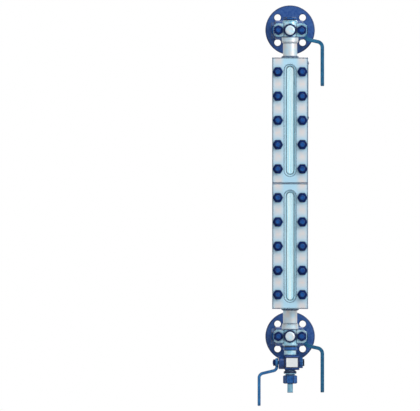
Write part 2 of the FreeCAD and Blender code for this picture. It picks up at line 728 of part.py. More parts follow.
def make_nut_field(label, where, flats, thick, thread, across, along=None, corner_up=False):
    """Equal hexagon nuts seated on an upright face, with the first one at the body's origin."""
    x, y, z = where
    body = new_body(label, y, z, x=x)
    block = pad(body, hexagon(body, "XZ", flats, corner_up=corner_up), thick)
    hole = cut(body, rings(body, "XZ", [("0", "0", thread)], thick), thick)
    front = crown(body, "Y", flats, f"-{thick}", 1)
    back = crown(body, "Y", flats, "0", -1)
    if along:
        repeat_twice(body, [block, hole, front, back], across, along)
    else:
        repeat(body, [block, hole, front, back], *across)


def make_cover_nuts(place):
    where = (
        f"-{LEG_X}",
        f"{GAUGE_Y} - {COVER_FRONT}",
        f"{SECTION_Z[place]} - {FIRST_ROW}",
    )
    across = ("X", f"2 * {LEG_X}", "2")
    along = ("Z", ROW_SPAN, "size.bolt_rows")
    thread = "(size.bolt_diameter + 2 * size.thread_play)"
    make_nut_field(
        f"{place}_cover_nuts", where, "size.nut_flats", "size.nut_thick", thread, across, along
    )


# Bare plate and its drive pins


def make_nameplate():
    middle = f"{GAUGE_Y} - {COVER_BACK} - size.cover_depth / 2"
    height = f"{SECTION_Z['upper']} + {COVER_LENGTH} / 2 - size.plate_drop - size.plate_length / 2"
    body = new_body("nameplate", middle, height, x=COVER_HALF)
    half = "size.plate_width / 2"
    end = "size.plate_length / 2"
    corner = "size.plate_corner"
    spots = [
        (f"-{half}", f"-{end}", corner),
        (half, f"-{end}", corner),
        (half, end, corner),
        (f"-{half}", end, corner),
    ]
    pad(body, outline(body, "YZ", spots), "size.plate_thick")
    pin_z = "(size.plate_length / 2 - size.pin_inset)"
    hole = "(size.pin_shank + 2 * size.thread_play)"
    pair = [("0", pin_z, hole), ("0", f"-{pin_z}", hole)]
    cut(body, rings(body, "YZ", pair, "size.plate_thick"), "size.plate_thick")


def make_nameplate_pins():
    middle = f"{GAUGE_Y} - {COVER_BACK} - size.cover_depth / 2"
    top = f"{SECTION_Z['upper']} + {COVER_LENGTH} / 2 - size.plate_drop"
    height = f"{top} - size.plate_length + size.pin_inset"
    body = new_body("nameplate_pins", middle, height, x=COVER_HALF)
    head = "size.plate_thick"
    profile = [
        ("-size.pin_depth", "0"),
        ("-size.pin_depth", "size.pin_shank / 2"),
        (head, "size.pin_shank / 2"),
        (head, "size.pin_head / 2"),
        (f"{head} + size.pin_rise", "size.pin_head / 2", "size.pin_rise * 0.9"),
        (f"{head} + size.pin_rise", "0"),
    ]
    pin_item = turn(body, "X", profile)
    repeat(body, [pin_item], "Z", "size.plate_length - 2 * size.pin_inset", "2")


# Connecting tubes, collars and heads; each is drawn with the gauge above its own origin


def new_head_body(label, place):
    over = TURNED_OVER if place == "upper" else None
    return new_body(label, GAUGE_Y, COCK_Z[place], rotation=over)


def make_tube(place):
    body = new_head_body(f"{place}_tube", place)
    start = f"({COLLAR_END} - size.socket_depth)"
    inner = "size.tube_bore / 2"
    outer = "size.tube_outer / 2"
    profile = [
        (start, inner),
        (start, outer),
        ("size.body_to_cock - size.weld_foot", outer),
        ("size.body_to_cock", f"{outer} + size.weld_foot"),
        ("size.body_to_cock", inner),
    ]
    turn(body, "Z", profile)


def make_collar(place):
    body = new_head_body(f"{place}_collar", place)
    start = "size.head_near"
    web = "size.head_near + size.spigot_length + size.socket_play"
    socket = f"({COLLAR_END} - size.socket_depth)"
    spigot = "size.spigot_outer / 2 + size.socket_play"
    tube = "size.tube_outer / 2 + size.socket_play"
    outer = "(size.tube_outer / 2 + size.collar_wall)"
    profile = [
        (start, spigot),
        (start, outer),
        (f"{COLLAR_END} - size.collar_chamfer", outer),
        (COLLAR_END, f"{outer} - size.collar_chamfer * 0.7"),
        (COLLAR_END, tube),
        (socket, tube),
        (socket, "size.tube_bore / 2"),
        (web, "size.tube_bore / 2"),
        (web, spigot),
    ]
    turn(body, "Z", profile)


def make_head(place):
    body = new_head_body(f"{place}_head", place)
    outer = "size.head_outer / 2"
    profile = [
        ("-size.head_far", "0"),
        ("-size.head_far", f"{outer} - size.head_chamfer"),
        ("-size.head_far + size.head_chamfer", outer),
        ("size.head_near", outer),
        ("size.head_near", "size.spigot_outer / 2"),
        ("size.head_near + size.spigot_length", "size.spigot_outer / 2"),
        ("size.head_near + size.spigot_length", "0"),
    ]
    turn(body, "Z", profile)
    reach = EAR_REACH
    rise = "size.ear_height / 2"
    corner = "size.ear_corner"
    spots = [
        (f"-{reach}", f"-{rise}", corner),
        (reach, f"-{rise}", corner),
        (reach, rise, corner),
        (f"-{reach}", rise, corner),
    ]
    ears = outline(body, "XZ", spots, "size.ear_front")
    pad(body, ears, "size.ear_front + size.ear_back", backward=True)
    tips = [[("Y", "-size.ear_front"), ("X", reach)], [("Y", "-size.ear_front"), ("X", f"-{reach}")]]
    ease(body, "Fillet", "size.ear_edge", tips)
    spigot = rings(body, "XZ", [("0", "0", "size.spigot_outer")])
    pad(body, spigot, SPIGOT_BACK, backward=True)
    boss = rings(body, "XZ", [("0", "0", "size.front_boss")])
    pad(body, boss, "size.head_outer / 2")
    upright = [
        ("-size.head_far", "0"),
        ("-size.head_far", "size.far_thread / 2"),
        ("-size.head_far + size.far_thread_depth", "size.far_thread / 2"),
        ("-size.head_far + size.far_thread_depth", "size.tube_bore / 2"),
        ("size.head_near + size.spigot_length", "size.tube_bore / 2"),
        ("size.head_near + size.spigot_length", "0"),
    ]
    bore(body, "Z", upright)
    crossways = [
        ("-size.head_outer / 2", "0"),
        ("-size.head_outer / 2", "size.front_thread / 2"),
        ("0", "size.front_thread / 2"),
        ("0", "size.side_bore / 2"),
        (SPIGOT_BACK, "size.side_bore / 2"),
        (SPIGOT_BACK, "0"),
    ]
    bore(body, "Y", crossways)
    hole = "(size.stud_diameter + 2 * size.stud_hole_play)"
    pair = [(f"{sign} * {STUD_X}", "0", hole) for sign in ("-1", "1")]
    cut(body, rings(body, "XZ", pair, "size.ear_front"), "size.ear_front + size.ear_back")


def make_flat_ring(body, axis, start, thick, outer, inner):
    """A flat ring from start onwards along the axis."""
    profile = [
        (start, f"{inner} / 2"),
        (start, f"{outer} / 2"),
        (f"{start} + {thick}", f"{outer} / 2"),
        (f"{start} + {thick}", f"{inner} / 2"),
    ]
    turn(body, axis, profile)


def make_top_plug():
    body = new_body("top_plug", GAUGE_Y, COCK_Z["upper"])
    seat = "(size.head_far + size.seal_thick)"
    top = f"({seat} + size.top_plug_thick)"
    radius = "(size.far_thread / 2 - size.thread_gap)"
    profile = [
        (f"{seat} - size.plug_thread_long", "0"),
        (f"{seat} - size.plug_thread_long", f"{radius} - size.thread_lead"),
        (f"{seat} - size.plug_thread_long + size.thread_lead", radius),
        (f"{seat} + size.overlap", radius),
        (f"{seat} + size.overlap", "0"),
    ]
    turn(body, "Z", profile)
    pad(body, hexagon(body, "XY", "size.top_plug_flats", seat), "size.top_plug_thick")
    crown(body, "Z", "size.top_plug_flats", top, -1)
    seal = new_body("top_plug_seal", GAUGE_Y, COCK_Z["upper"])
    make_flat_ring(
        seal, "Z", "size.head_far", "size.seal_thick", "size.seal_outer", "size.far_thread"
    )


def make_front_plug(place):
    body = new_body(f"{place}_front_plug", GAUGE_Y, COCK_Z[place])
    seat = "(size.head_outer / 2 + size.seal_thick)"
    front = f"({seat} + size.front_plug_thick)"
    radius = "(size.front_thread / 2 - size.thread_gap)"
    profile = [
        (f"-{seat} + size.plug_thread_long", "0"),
        (f"-{seat} + size.plug_thread_long", radius),
        (f"-{seat} - size.overlap", radius),
        (f"-{seat} - size.overlap", "0"),
    ]
    turn(body, "Y", profile)
    plan = hexagon(body, "XZ", "size.front_plug_flats", seat, corner_up=True)
    pad(body, plan, "size.front_plug_thick")
    crown(body, "Y", "size.front_plug_flats", f"-{front}", 1)
    dome = [
        (f"-{front} + size.overlap", "0"),
        (f"-{front} + size.overlap", "size.front_plug_flats * 0.45"),
        (f"-{front}", "size.front_plug_flats * 0.45"),
        (f"-{front} - size.front_plug_dome", "size.front_plug_face / 2"),
        (f"-{front} - size.front_plug_dome", "0"),
    ]
    turn(body, "Y", dome)
    seal = new_body(f"{place}_front_plug_seal", GAUGE_Y, COCK_Z[place])
    make_flat_ring(
        seal, "Y", f"-{seat}", "size.seal_thick", "size.seal_outer", "size.front_thread"
    )


def make_head_fasteners(place):
    body = new_body(f"{place}_head_studs", GAUGE_Y, COCK_Z[place], x=f"-{STUD_X}")
    radius = "size.stud_diameter / 2"
    front = "(size.ear_front + size.head_nut_thick + size.stud_tail)"
    back = "(size.ear_back + size.oval_gap + size.oval_thick)"
    profile = [
        (f"-{front}", "0"),
        (f"-{front}", f"{radius} - size.thread_lead"),
        (f"-{front} + size.thread_lead", radius),
        (back, radius),
        (back, "0"),
    ]
    stud = turn(body, "Y", profile)
    repeat(body, [stud], "X", f"2 * {STUD_X}", "2")
    where = (f"-{STUD_X}", f"{GAUGE_Y} - size.ear_front", COCK_Z[place])
    thread = "(size.stud_diameter + 2 * size.thread_play)"
    across = ("X", f"2 * {STUD_X}", "2")
    make_nut_field(
        f"{place}_head_nuts", where, "size.head_nut_flats", "size.head_nut_thick", thread,
        across, corner_up=True,
    )
    ring = new_body(f"{place}_joint_ring", GAUGE_Y, COCK_Z[place])
    make_flat_ring(
        ring, "Y", SPIGOT_BACK, "size.joint_ring_thick", "size.spigot_outer", "size.side_bore"
    )


# Flanged plug cocks; the origin of each piece is the middle of the plug


def new_cock_body(label, place):
    return new_body(label, PLUG_Y, COCK_Z[place])


def make_cock_body(place):
    body = new_cock_body(f"{place}_cock_body", place)
    oval_back = f"(-{OVAL_FRONT} + size.oval_thick)"
    waist_end = f"({oval_back} + size.waist_length)"
    neck_end = f"({waist_end} + size.neck_length)"
    raised = "(size.cock_to_face - size.raised_height)"
    profile = [
        (f"{oval_back} - size.overlap", "0"),
        (f"{oval_back} - size.overlap", "size.neck_waist / 2"),
        (waist_end, "size.neck_waist / 2"),
        (waist_end, "size.neck_diameter / 2"),
        (neck_end, "size.neck_diameter / 2", "size.neck_round"),
        ("0", "size.belly_diameter / 2", "size.belly_round"),
        (REAR_NECK_START, "size.rear_neck / 2", "size.neck_round"),
        (FLANGE_FRONT, "size.rear_neck / 2", "size.flange_fillet"),
        (FLANGE_FRONT, "size.flange_outer / 2", "size.flange_edge"),
        (raised, "size.flange_outer / 2", "size.flange_edge"),
        (raised, "size.raised_outer / 2"),
        ("size.cock_to_face", "size.raised_outer / 2"),
        ("size.cock_to_face", "0"),
    ]
    turn(body, "Y", profile)
    barrel = [
        ("-size.barrel_left", "0"),
        ("-size.barrel_left", "size.barrel_outer / 2", "size.barrel_round"),
        ("size.barrel_right", "size.barrel_outer / 2", "size.barrel_round"),
        ("size.barrel_right", "0"),
    ]
    turn(body, "X", barrel)
    reach = EAR_REACH
    rise = "size.oval_height / 2"
    corner = "size.ear_corner"
    spots = [
        (f"-{reach}", f"-{rise}", corner),
        (reach, f"-{rise}", corner),
        (reach, rise, corner),
        (f"-{reach}", rise, corner),
    ]
    oval = outline(body, "XZ", spots, OVAL_FRONT)
    pad(body, oval, "size.oval_thick", backward=True)
    tips = [[("Y", f"-{OVAL_FRONT}"), ("X", reach)], [("Y", f"-{OVAL_FRONT}"), ("X", f"-{reach}")]]
    ease(body, "Fillet", "size.ear_edge", tips)
    way = [
        (f"-{OVAL_FRONT}", "0"),
        (f"-{OVAL_FRONT}", "size.plug_port / 2"),
        (REAR_NECK_START, "size.plug_port / 2"),
        (f"{REAR_NECK_START} + size.bore_taper", "size.flange_bore / 2"),
        ("size.cock_to_face", "size.flange_bore / 2"),
        ("size.cock_to_face", "0"),
    ]
    bore(body, "Y", way)
    chamber = [
        ("-size.barrel_left", "0"),
        ("-size.barrel_left", "size.cap_thread / 2"),
        (f"-{SLEEVE_LEFT}", "size.cap_thread / 2"),
        (f"-{SLEEVE_LEFT}", "size.sleeve_outer / 2"),
        (SLEEVE_RIGHT, "size.sleeve_outer / 2"),
        (SLEEVE_RIGHT, "size.stem_diameter / 2 + size.stem_play"),
        ("size.barrel_right - size.gland_thick", "size.stem_diameter / 2 + size.stem_play"),
        ("size.barrel_right - size.gland_thick", "size.cap_thread / 2"),
        ("size.barrel_right", "size.cap_thread / 2"),
        ("size.barrel_right", "0"),
    ]
    bore(body, "X", chamber)
    pair = [(f"-{STUD_X}", "0", "size.stud_diameter"), (STUD_X, "0", "size.stud_diameter")]
    cut(body, rings(body, "XZ", pair, OVAL_FRONT), "size.oval_thick")
    aside = "size.bolt_circle / 2 * sqrt(0.5)"
    first = rings(body, "XZ", [(aside, aside, "size.flange_hole")], f"-{FLANGE_FRONT}")
    hole = cut(body, first, "size.flange_thick")
    repeat_round(body, [hole], "Y", "size.flange_holes")


def make_plug(body, sizes):
    """A plug with its cross port and a stem; sizes names the ends and diameters in order."""
    left, right, diameter, stem, stem_end, face, tip, port = sizes
    profile = [
        (f"-{left}", "0"),
        (f"-{left}", f"{diameter} / 2"),
        (right, f"{diameter} / 2"),
        (right, f"{stem} / 2"),
        (face, f"{stem} / 2"),
        (face, f"{stem_end} / 2"),
        (tip, f"{stem_end} / 2"),
        (tip, "0"),
    ]
    turn(body, "X", profile)
    cut(body, rings(body, "XZ", [("0", "0", port)], f"{diameter} / 2"), diameter)


def make_sleeve(body, left, right, outer, inner, port, plane):
    """A packing sleeve with a port through both walls, square to the given plane."""
    profile = [
        (f"-{left}", f"{inner} / 2"),
        (f"-{left}", f"{outer} / 2"),
        (right, f"{outer} / 2"),
        (right, f"{inner} / 2"),
    ]
    turn(body, "X", profile)
    cut(body, rings(body, plane, [("0", "0", port)], f"{outer} / 2"), outer)


def make_cock_inside(place):
    nut_face = f"({HUB_FACE} + size.lever_thick - size.lever_nut_sink)"
    tip = f"({nut_face} + size.lever_nut_thick - size.stem_short)"
    sizes = (
        f"({SLEEVE_LEFT} - size.plug_end_play)",
        f"({SLEEVE_RIGHT} - size.plug_end_play)",
        "size.plug_diameter",
        "size.stem_diameter",
        "size.stem_end",
        HUB_FACE,
        tip,
        "size.plug_port",
    )
    make_plug(new_cock_body(f"{place}_cock_plug", place), sizes)
    make_sleeve(
        new_cock_body(f"{place}_packing_sleeve", place),
        SLEEVE_LEFT,
        SLEEVE_RIGHT,
        "(size.sleeve_outer - 2 * size.socket_play)",
        "(size.plug_diameter + 2 * size.plug_play)",
        "size.plug_port",
        "XZ",
    )
    gland = new_cock_body(f"{place}_gland_ring", place)
    make_flat_ring(
        gland,
        "X",
        "(size.barrel_right - size.gland_thick)",
        "size.gland_thick",
        "(size.cap_thread - 2 * size.socket_play)",
        "(size.stem_diameter + 2 * size.stem_play)",
    )
    cap = new_cock_body(f"{place}_cock_cap", place)
    thread = [
        ("-size.barrel_left - size.overlap", "0"),
        ("-size.barrel_left - size.overlap", "size.cap_thread / 2 - size.thread_gap"),
        (f"-{SLEEVE_LEFT}", "size.cap_thread / 2 - size.thread_gap"),
        (f"-{SLEEVE_LEFT}", "0"),
    ]
    turn(cap, "X", thread)
    end = "-size.barrel_left - size.cap_thick"
    pad(cap, hexagon(cap, "YZ", "size.cap_flats", end, corner_up=True), "size.cap_thick")
    crown(cap, "X", "size.cap_flats", end, 1)


# Hand levers: a flat bar bent outwards twice, pressed with a groove and hung from a round hub


def make_lever(label, y, z, sizes, rotation=None):
    body = new_body(label, y, z, rotation=rotation)
    face = sizes["face"]
    thick = sizes["thick"]
    width = sizes["width"]
    middle = f"({face} + {thick} / 2)"
    tip = f"({sizes['length']} - {width} / 2)"
    half = f"{thick} / 2"
    side = f"{width} / 2"
    edge = "size.lever_edge"
    bar = [
        (f"{middle} - {half}", f"-{side}", edge),
        (f"{middle} + {half}", f"-{side}", edge),
        (f"{middle} + {half}", side, edge),
        (f"{middle} - {half}", side, edge),
    ]
    bends = [
        (middle, "0"),
        (middle, f"-{sizes['drop']}", sizes["turn"]),
        (sizes["reach"], f"-{sizes['fall']}", sizes["bend"]),
        (sizes["reach"], f"-{tip}"),
    ]
    section = outline(body, "XY", bar)
    spine = outline(body, "XZ", bends, closed=False)
    arm = step(body, "AdditivePipe", section)
    arm.Spine = (spine, ["Edge1", "Edge2", "Edge3", "Edge4", "Edge5"])
    for sign in ("-1", "1"):
        waist = [
            (f"{sign} * {sizes['neck']} / 2", "size.overlap"),
            (f"{sign} * {width}", "size.overlap"),
            (f"{sign} * {width}", f"-{sizes['shoulder']}"),
            (f"{sign} * {width} / 2", f"-{sizes['shoulder']}"),
            (f"{sign} * {sizes['neck']} / 2", f"-{sizes['shoulder']} + size.lever_slope"),
        ]
        cut(body, outline(body, "YZ", waist, sizes["reach"]), sizes["reach"])
    round_end = [
        (f"{sizes['reach']} - {half}", "0"),
        (f"{sizes['reach']} - {half}", side, edge),
        (f"{sizes['reach']} + {half}", side, edge),
        (f"{sizes['reach']} + {half}", "0"),
    ]
    end_sketch = outline(body, "XY", round_end, f"-{tip}")
    end = step(body, "Revolution", end_sketch)
    end.ReferenceAxis = (end_sketch, ["H_Axis"])
    end.Angle = 360
    hub = [
        (face, "0"),
        (face, f"{sizes['hub']} / 2"),
        (f"{face} + {thick}", f"{sizes['hub']} / 2", edge),
        (f"{face} + {thick}", "0"),
    ]
    turn(body, "X", hub)
    seat = f"({face} + {thick} - {sizes['nut_sink']})"
    well = f"({sizes['nut_flats']} / sqrt(3) + size.nut_seat_play / 2)"
    hole = [
        (face, "0"),
        (face, f"{sizes['stem']} / 2 + size.thread_play"),
        (seat, f"{sizes['stem']} / 2 + size.thread_play"),
        (seat, well),
        (f"{face} + {thick}", well),
        (f"{face} + {thick}", "0"),
    ]
    bore(body, "X", hole)
    centre = f"-({sizes['groove_start']} + {sizes['groove_end']}) / 2"
    length = f"({sizes['groove_end']} - {sizes['groove_start']})"
    outside = f"{sizes['reach']} + {half}"
    groove = long_round(body, "YZ", sizes["groove"], length, y=centre, lift=outside)
    cut(body, groove, "size.groove_depth")
    inset = f"({length} - {sizes['groove']} + {sizes['core']})"
    core = long_round(body, "YZ", sizes["core"], inset, y=centre, lift=outside)
    cut(body, core, "size.groove_depth + size.groove_core_depth")


def make_lever_nut(label, y, z, seat, flats, thick, stem, rotation=None):
    body = new_body(label, y, z, rotation=rotation)
    pad(body, hexagon(body, "YZ", flats, seat, corner_up=True), thick)
    end = f"({seat} + {thick})"
    hole = [
        (seat, "0"),
        (seat, f"{stem} / 2 + size.thread_play"),
        (end, f"{stem} / 2 + size.thread_play"),
        (end, "0"),
    ]
    bore(body, "X", hole)
    crown(body, "X", flats, end, -1)


def make_cock_lever(place):
    sizes = {
        "face": HUB_FACE,
        "thick": "size.lever_thick",
        "width": "size.lever_width",
        "neck": "size.lever_neck",
        "shoulder": "size.lever_shoulder",
        "hub": "size.lever_hub",
        "drop": "size.lever_drop",
        "turn": "size.lever_turn",
        "fall": "size.lever_fall",
        "bend": "size.lever_bend",
        "reach": "size.lever_reach",
        "length": "size.lever_length",
        "stem": "size.stem_end",
        "nut_sink": "size.lever_nut_sink",
        "nut_flats": "size.lever_nut_flats",
        "groove": "size.groove_width",
        "core": "size.groove_core",
        "groove_start": "size.groove_start",
        "groove_end": "size.groove_end",
    }
    make_lever(f"{place}_lever", PLUG_Y, COCK_Z[place], sizes)
    make_lever_nut(
        f"{place}_lever_nut",
        PLUG_Y,
        COCK_Z[place],
        f"({HUB_FACE} + size.lever_thick - size.lever_nut_sink)",
        "size.lever_nut_flats",
        "size.lever_nut_thick",
        "size.stem_end",
    )


# Drain cock under the lower head; the origin of each piece is the middle of the drain plug


def new_drain_body(label, rotation=None):
    return new_body(label, GAUGE_Y, DRAIN_Z, rotation=rotation)


def make_drain_adapter():
    body = new_body("drain_adapter", GAUGE_Y, COCK_Z["lower"])
    ring_top = "(-size.head_far - size.adapter_seal)"
    ring_end = f"({ring_top} - size.adapter_ring_thick)"
    neck_end = f"({DRAIN_Z} + {BLOCK_TOP})"
    upper = "(size.far_thread / 2 - size.thread_gap)"
    lower = "(size.adapter_spigot / 2 - size.thread_gap)"
    way = "size.drain_bore / 2"
    round_edge = "size.ring_round"
    profile = [
        (f"{ring_top} + size.plug_thread_long", way),
        (f"{ring_top} + size.plug_thread_long", upper),
        (ring_top, upper),
        (ring_top, "size.adapter_ring / 2", round_edge),
        (ring_end, "size.adapter_ring / 2", round_edge),
        (ring_end, "size.adapter_neck / 2"),
        (neck_end, "size.adapter_neck / 2"),
        (neck_end, lower),
        (f"{neck_end} - {SPIGOT_LONG}", lower),
        (f"{neck_end} - {SPIGOT_LONG}", way),
    ]
    turn(body, "Z", profile)
    seal = new_body("drain_seal", GAUGE_Y, COCK_Z["lower"])
    make_flat_ring(
        seal, "Z", ring_top, "size.adapter_seal", "size.seal_outer", "size.far_thread"
    )


def make_drain_body():
    body = new_drain_body("drain_body")
    side = "size.block_depth / 2"
    rise = BLOCK_TOP
    corner = "size.block_corner"
    spots = [
        (f"-{side}", f"-{rise}", corner),
        (side, f"-{rise}", corner),
        (side, rise, corner),
        (f"-{side}", rise, corner),
    ]
    block = outline(body, "YZ", spots, "-size.block_left")
    pad(body, block, "size.block_left + size.block_right")
    ease(body, "Fillet", "size.block_edge", [[("X", "size.block_right"), ("Y", side)]])
    barrel = [
        ("-size.drain_barrel_left", "0"),
        ("-size.drain_barrel_left", "size.drain_barrel / 2", "size.drain_barrel_round"),
        ("0", "size.drain_barrel / 2"),
        ("0", "0"),
    ]
    turn(body, "X", barrel)
    upright = [
        (rise, "0"),
        (rise, "size.adapter_spigot / 2"),
        (f"{rise} - {SPIGOT_LONG}", "size.adapter_spigot / 2"),
        (f"{rise} - {SPIGOT_LONG}", "size.drain_bore / 2"),
        (f"-{rise} + {SPIGOT_LONG}", "size.drain_bore / 2"),
        (f"-{rise} + {SPIGOT_LONG}", "size.nipple_spigot / 2"),
        (f"-{rise}", "size.nipple_spigot / 2"),
        (f"-{rise}", "0"),
    ]
    bore(body, "Z", upright)
    stem = "size.drain_stem / 2 + size.stem_play"
    ring = "size.drain_sleeve_outer / 2"
    gland = "-size.drain_barrel_left + size.drain_gland_thick"
    chamber = [
        ("-size.drain_barrel_left", "0"),
        ("-size.drain_barrel_left", ring),
        (gland, ring),
        (gland, stem),
        (f"-{DRAIN_SLEEVE_LEFT}", stem),
        (f"-{DRAIN_SLEEVE_LEFT}", ring),
        ("size.block_right", ring),
        ("size.block_right", "0"),
    ]
    bore(body, "X", chamber)
    middle = "(size.block_right - size.block_left) / 2"
    across = "size.spot_width / 2"
    high = "size.spot_height / 2"
    patch = [
        (f"{middle} - {across}", f"-{high}", "size.spot_corner"),
        (f"{middle} + {across}", f"-{high}", "size.spot_corner"),
        (f"{middle} + {across}", high, "size.spot_corner"),
        (f"{middle} - {across}", high, "size.spot_corner"),
    ]
    cut(body, outline(body, "XZ", patch, side), "size.spot_depth")


def make_drain_inside():
    nut_face = f"({DRAIN_HUB_FACE} + size.drain_lever_thick - size.drain_nut_sink)"
    sizes = (
        f"({DRAIN_SLEEVE_RIGHT} - size.plug_end_play)",
        f"({DRAIN_SLEEVE_LEFT} - size.plug_end_play)",
        "size.drain_plug_diameter",
        "size.drain_stem",
        "size.drain_stem_end",
        DRAIN_HUB_FACE,
        f"({nut_face} + size.drain_nut_thick + size.drain_stem_tail)",
        "size.drain_bore",
    )
    make_plug(new_drain_body("drain_plug", rotation=TURNED_ROUND), sizes)
    make_sleeve(
        new_drain_body("drain_packing_sleeve"),
        DRAIN_SLEEVE_LEFT,
        DRAIN_SLEEVE_RIGHT,
        "(size.drain_sleeve_outer - 2 * size.socket_play)",
        "(size.drain_plug_diameter + 2 * size.plug_play)",
        "size.drain_bore",
        "XY",
    )
    gland = new_drain_body("drain_gland_ring")
    make_flat_ring(
        gland,
        "X",
        "-size.drain_barrel_left",
        "size.drain_gland_thick",
        "(size.drain_sleeve_outer - 2 * size.socket_play)",
        "(size.drain_stem + 2 * size.stem_play)",
    )
    cap = new_drain_body("drain_cap")
    seat = "size.block_right"
    rim = "(size.block_right + size.drain_cap_thick)"
    top = f"({rim} + size.drain_cap_rise)"
    spigot = "size.drain_sleeve_outer / 2 - size.thread_gap"
    profile = [
        (DRAIN_SLEEVE_RIGHT, "0"),
        (DRAIN_SLEEVE_RIGHT, spigot),
        (seat, spigot),
        (seat, "size.drain_cap_outer / 2"),
        (rim, "size.drain_cap_outer / 2", "size.drain_cap_round"),
        (rim, "size.drain_cap_boss / 2"),
        (top, "size.drain_cap_boss / 2", "size.drain_cap_round"),
        (top, "0"),
    ]
    turn(cap, "X", profile)
    spot = [("0", "size.drain_cap_outer / 2 + size.flute_diameter / 5", "size.flute_diameter")]
    flute = cut(cap, rings(cap, "YZ", spot, rim), "size.drain_cap_thick - size.flute_stop")
    repeat_round(cap, [flute], "X", "size.flute_count")


def make_drain_lever():
    sizes = {
        "face": DRAIN_HUB_FACE,
        "thick": "size.drain_lever_thick",
        "width": "size.drain_lever_width",
        "neck": "size.drain_lever_neck",
        "shoulder": "size.drain_lever_shoulder",
        "hub": "size.drain_lever_hub",
        "drop": "size.drain_lever_drop",
        "turn": "size.drain_lever_turn",
        "fall": "size.drain_lever_fall",
        "bend": "size.drain_lever_bend",
        "reach": "size.drain_lever_reach",
        "length": "size.drain_lever_length",
        "stem": "size.drain_stem_end",
        "nut_sink": "size.drain_nut_sink",
        "nut_flats": "size.drain_nut_flats",
        "groove": "size.drain_groove_width",
        "core": "size.drain_groove_core",
        "groove_start": "size.drain_groove_start",
        "groove_end": "size.drain_groove_end",
    }
    make_lever("drain_lever", GAUGE_Y, DRAIN_Z, sizes, rotation=TURNED_ROUND)
    make_lever_nut(
        "drain_lever_nut",
        GAUGE_Y,
        DRAIN_Z,
        f"({DRAIN_HUB_FACE} + size.drain_lever_thick - size.drain_nut_sink)",
        "size.drain_nut_flats",
        "size.drain_nut_thick",
        "size.drain_stem_end",
        rotation=TURNED_ROUND,
    )


def make_drain_outlet():
    nipple = new_drain_body("drain_nipple")
    way = "size.drain_bore / 2"
    upper = "(size.nipple_spigot / 2 - size.thread_gap)"
    shoulder = "(size.union_lip + size.tail_shoulder_thick + size.union_gap)"
    thread_end = f"({UNION_END} - {shoulder})"
    profile = [
        (f"-{BLOCK_TOP} + {SPIGOT_LONG}", way),
        (f"-{BLOCK_TOP} + {SPIGOT_LONG}", upper),
        (f"-{BLOCK_TOP}", upper),
        (f"-{BLOCK_TOP}", "size.nipple_waist / 2"),
        (f"-{RING_TOP}", "size.nipple_waist / 2"),
        (f"-{RING_TOP}", "size.nipple_ring / 2", "size.ring_round"),
        (f"-{RING_END}", "size.nipple_ring / 2", "size.ring_round"),
        (f"-{RING_END}", "size.nipple_neck / 2"),
        (f"-{UNION_TOP}", "size.nipple_neck / 2"),
        (f"-{UNION_TOP}", "size.nipple_thread / 2"),
        (f"-{thread_end}", "size.nipple_thread / 2"),
        (f"-{thread_end}", way),
    ]
    turn(nipple, "Z", profile)
    nut = new_drain_body("drain_union_nut")
    plan = hexagon(nut, "XY", "size.union_flats", f"-{UNION_END}")
    pad(nut, plan, "size.union_thick")
    inner = "size.nipple_thread / 2 + size.thread_gap"
    lip = f"(-{UNION_END} + size.union_lip)"
    hollow = [
        (f"-{UNION_TOP}", "0"),
        (f"-{UNION_TOP}", inner),
        (lip, inner),
        (lip, "size.tail_outer / 2 + size.thread_gap"),
        (f"-{UNION_END}", "size.tail_outer / 2 + size.thread_gap"),
        (f"-{UNION_END}", "0"),
    ]
    bore(nut, "Z", hollow)
    crown(nut, "Z", "size.union_flats", f"-{UNION_END}", 1)
    crown(nut, "Z", "size.union_flats", f"-{UNION_TOP}", -1)
    tail = new_drain_body("drain_tail_pipe")
    rest = f"({lip} + size.tail_shoulder_thick)"
    relief = "size.tail_outer / 2 - size.tail_relief"
    relief_end = f"-{UNION_END} - size.relief_below"
    pipe = [
        (rest, way),
        (rest, f"{inner} - size.shoulder_play"),
        (lip, f"{inner} - size.shoulder_play"),
        (lip, relief),
        (relief_end, relief),
        (relief_end, "size.tail_outer / 2"),
        ("-size.tail_end", "size.tail_outer / 2"),
        ("-size.tail_end", way),
    ]
    turn(tail, "Z", pipe)


make_gauge_body()
for place in ("upper", "lower"):
    make_cover(place)
    make_glass(place)
    make_gasket(f"{place}_gasket", place, "(size.bar_depth / 2)")
    make_gasket(f"{place}_cushion", place, GLASS_FRONT, "size.cushion_lip")
    make_u_bolts(place)
    make_cover_nuts(place)
    make_tube(place)
    make_collar(place)
    make_head(place)
    make_front_plug(place)
    make_head_fasteners(place)
    make_cock_body(place)
    make_cock_inside(place)
    make_cock_lever(place)
make_nameplate()
make_nameplate_pins()
make_top_plug()
make_drain_adapter()
make_drain_body()
make_drain_inside()
make_drain_lever()
make_drain_outlet()
document.recompute()


# Checks before anything is written


def check_document():
    for item in document.Objects:
        if "Invalid" in item.State or "Error" in item.State:
            raise RuntimeError(f"{item.Label} failed: {item.State}")
    for item in document.Objects:
        if item.TypeId in ("PartDesign::Pocket", "PartDesign::Groove"):
            if item.Shape.Volume > item.BaseFeature.Shape.Volume - 0.01:
                raise RuntimeError(f"{item.Label} cuts nothing")
    for body in pieces:
        if body.Shape.isNull() or not body.Shape.isValid():
            raise RuntimeError(f"{body.Label} has no valid shape")


check_document()
os.makedirs("parts", exist_ok=True)
for body in pieces:
    body.Shape.exportStep(os.path.join("parts", f"{body.Label}.step"))
    box = body.Shape.BoundBox
    print(
        f"{body.Label}: {len(body.Shape.Solids)} solids, {body.Shape.Volume:.0f} mm3,"
        f" x {box.XMin:.1f} to {box.XMax:.1f}, y {box.YMin:.1f} to {box.YMax:.1f},"
        f" z {box.ZMin:.1f} to {box.ZMax:.1f}"
    )
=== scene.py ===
import math

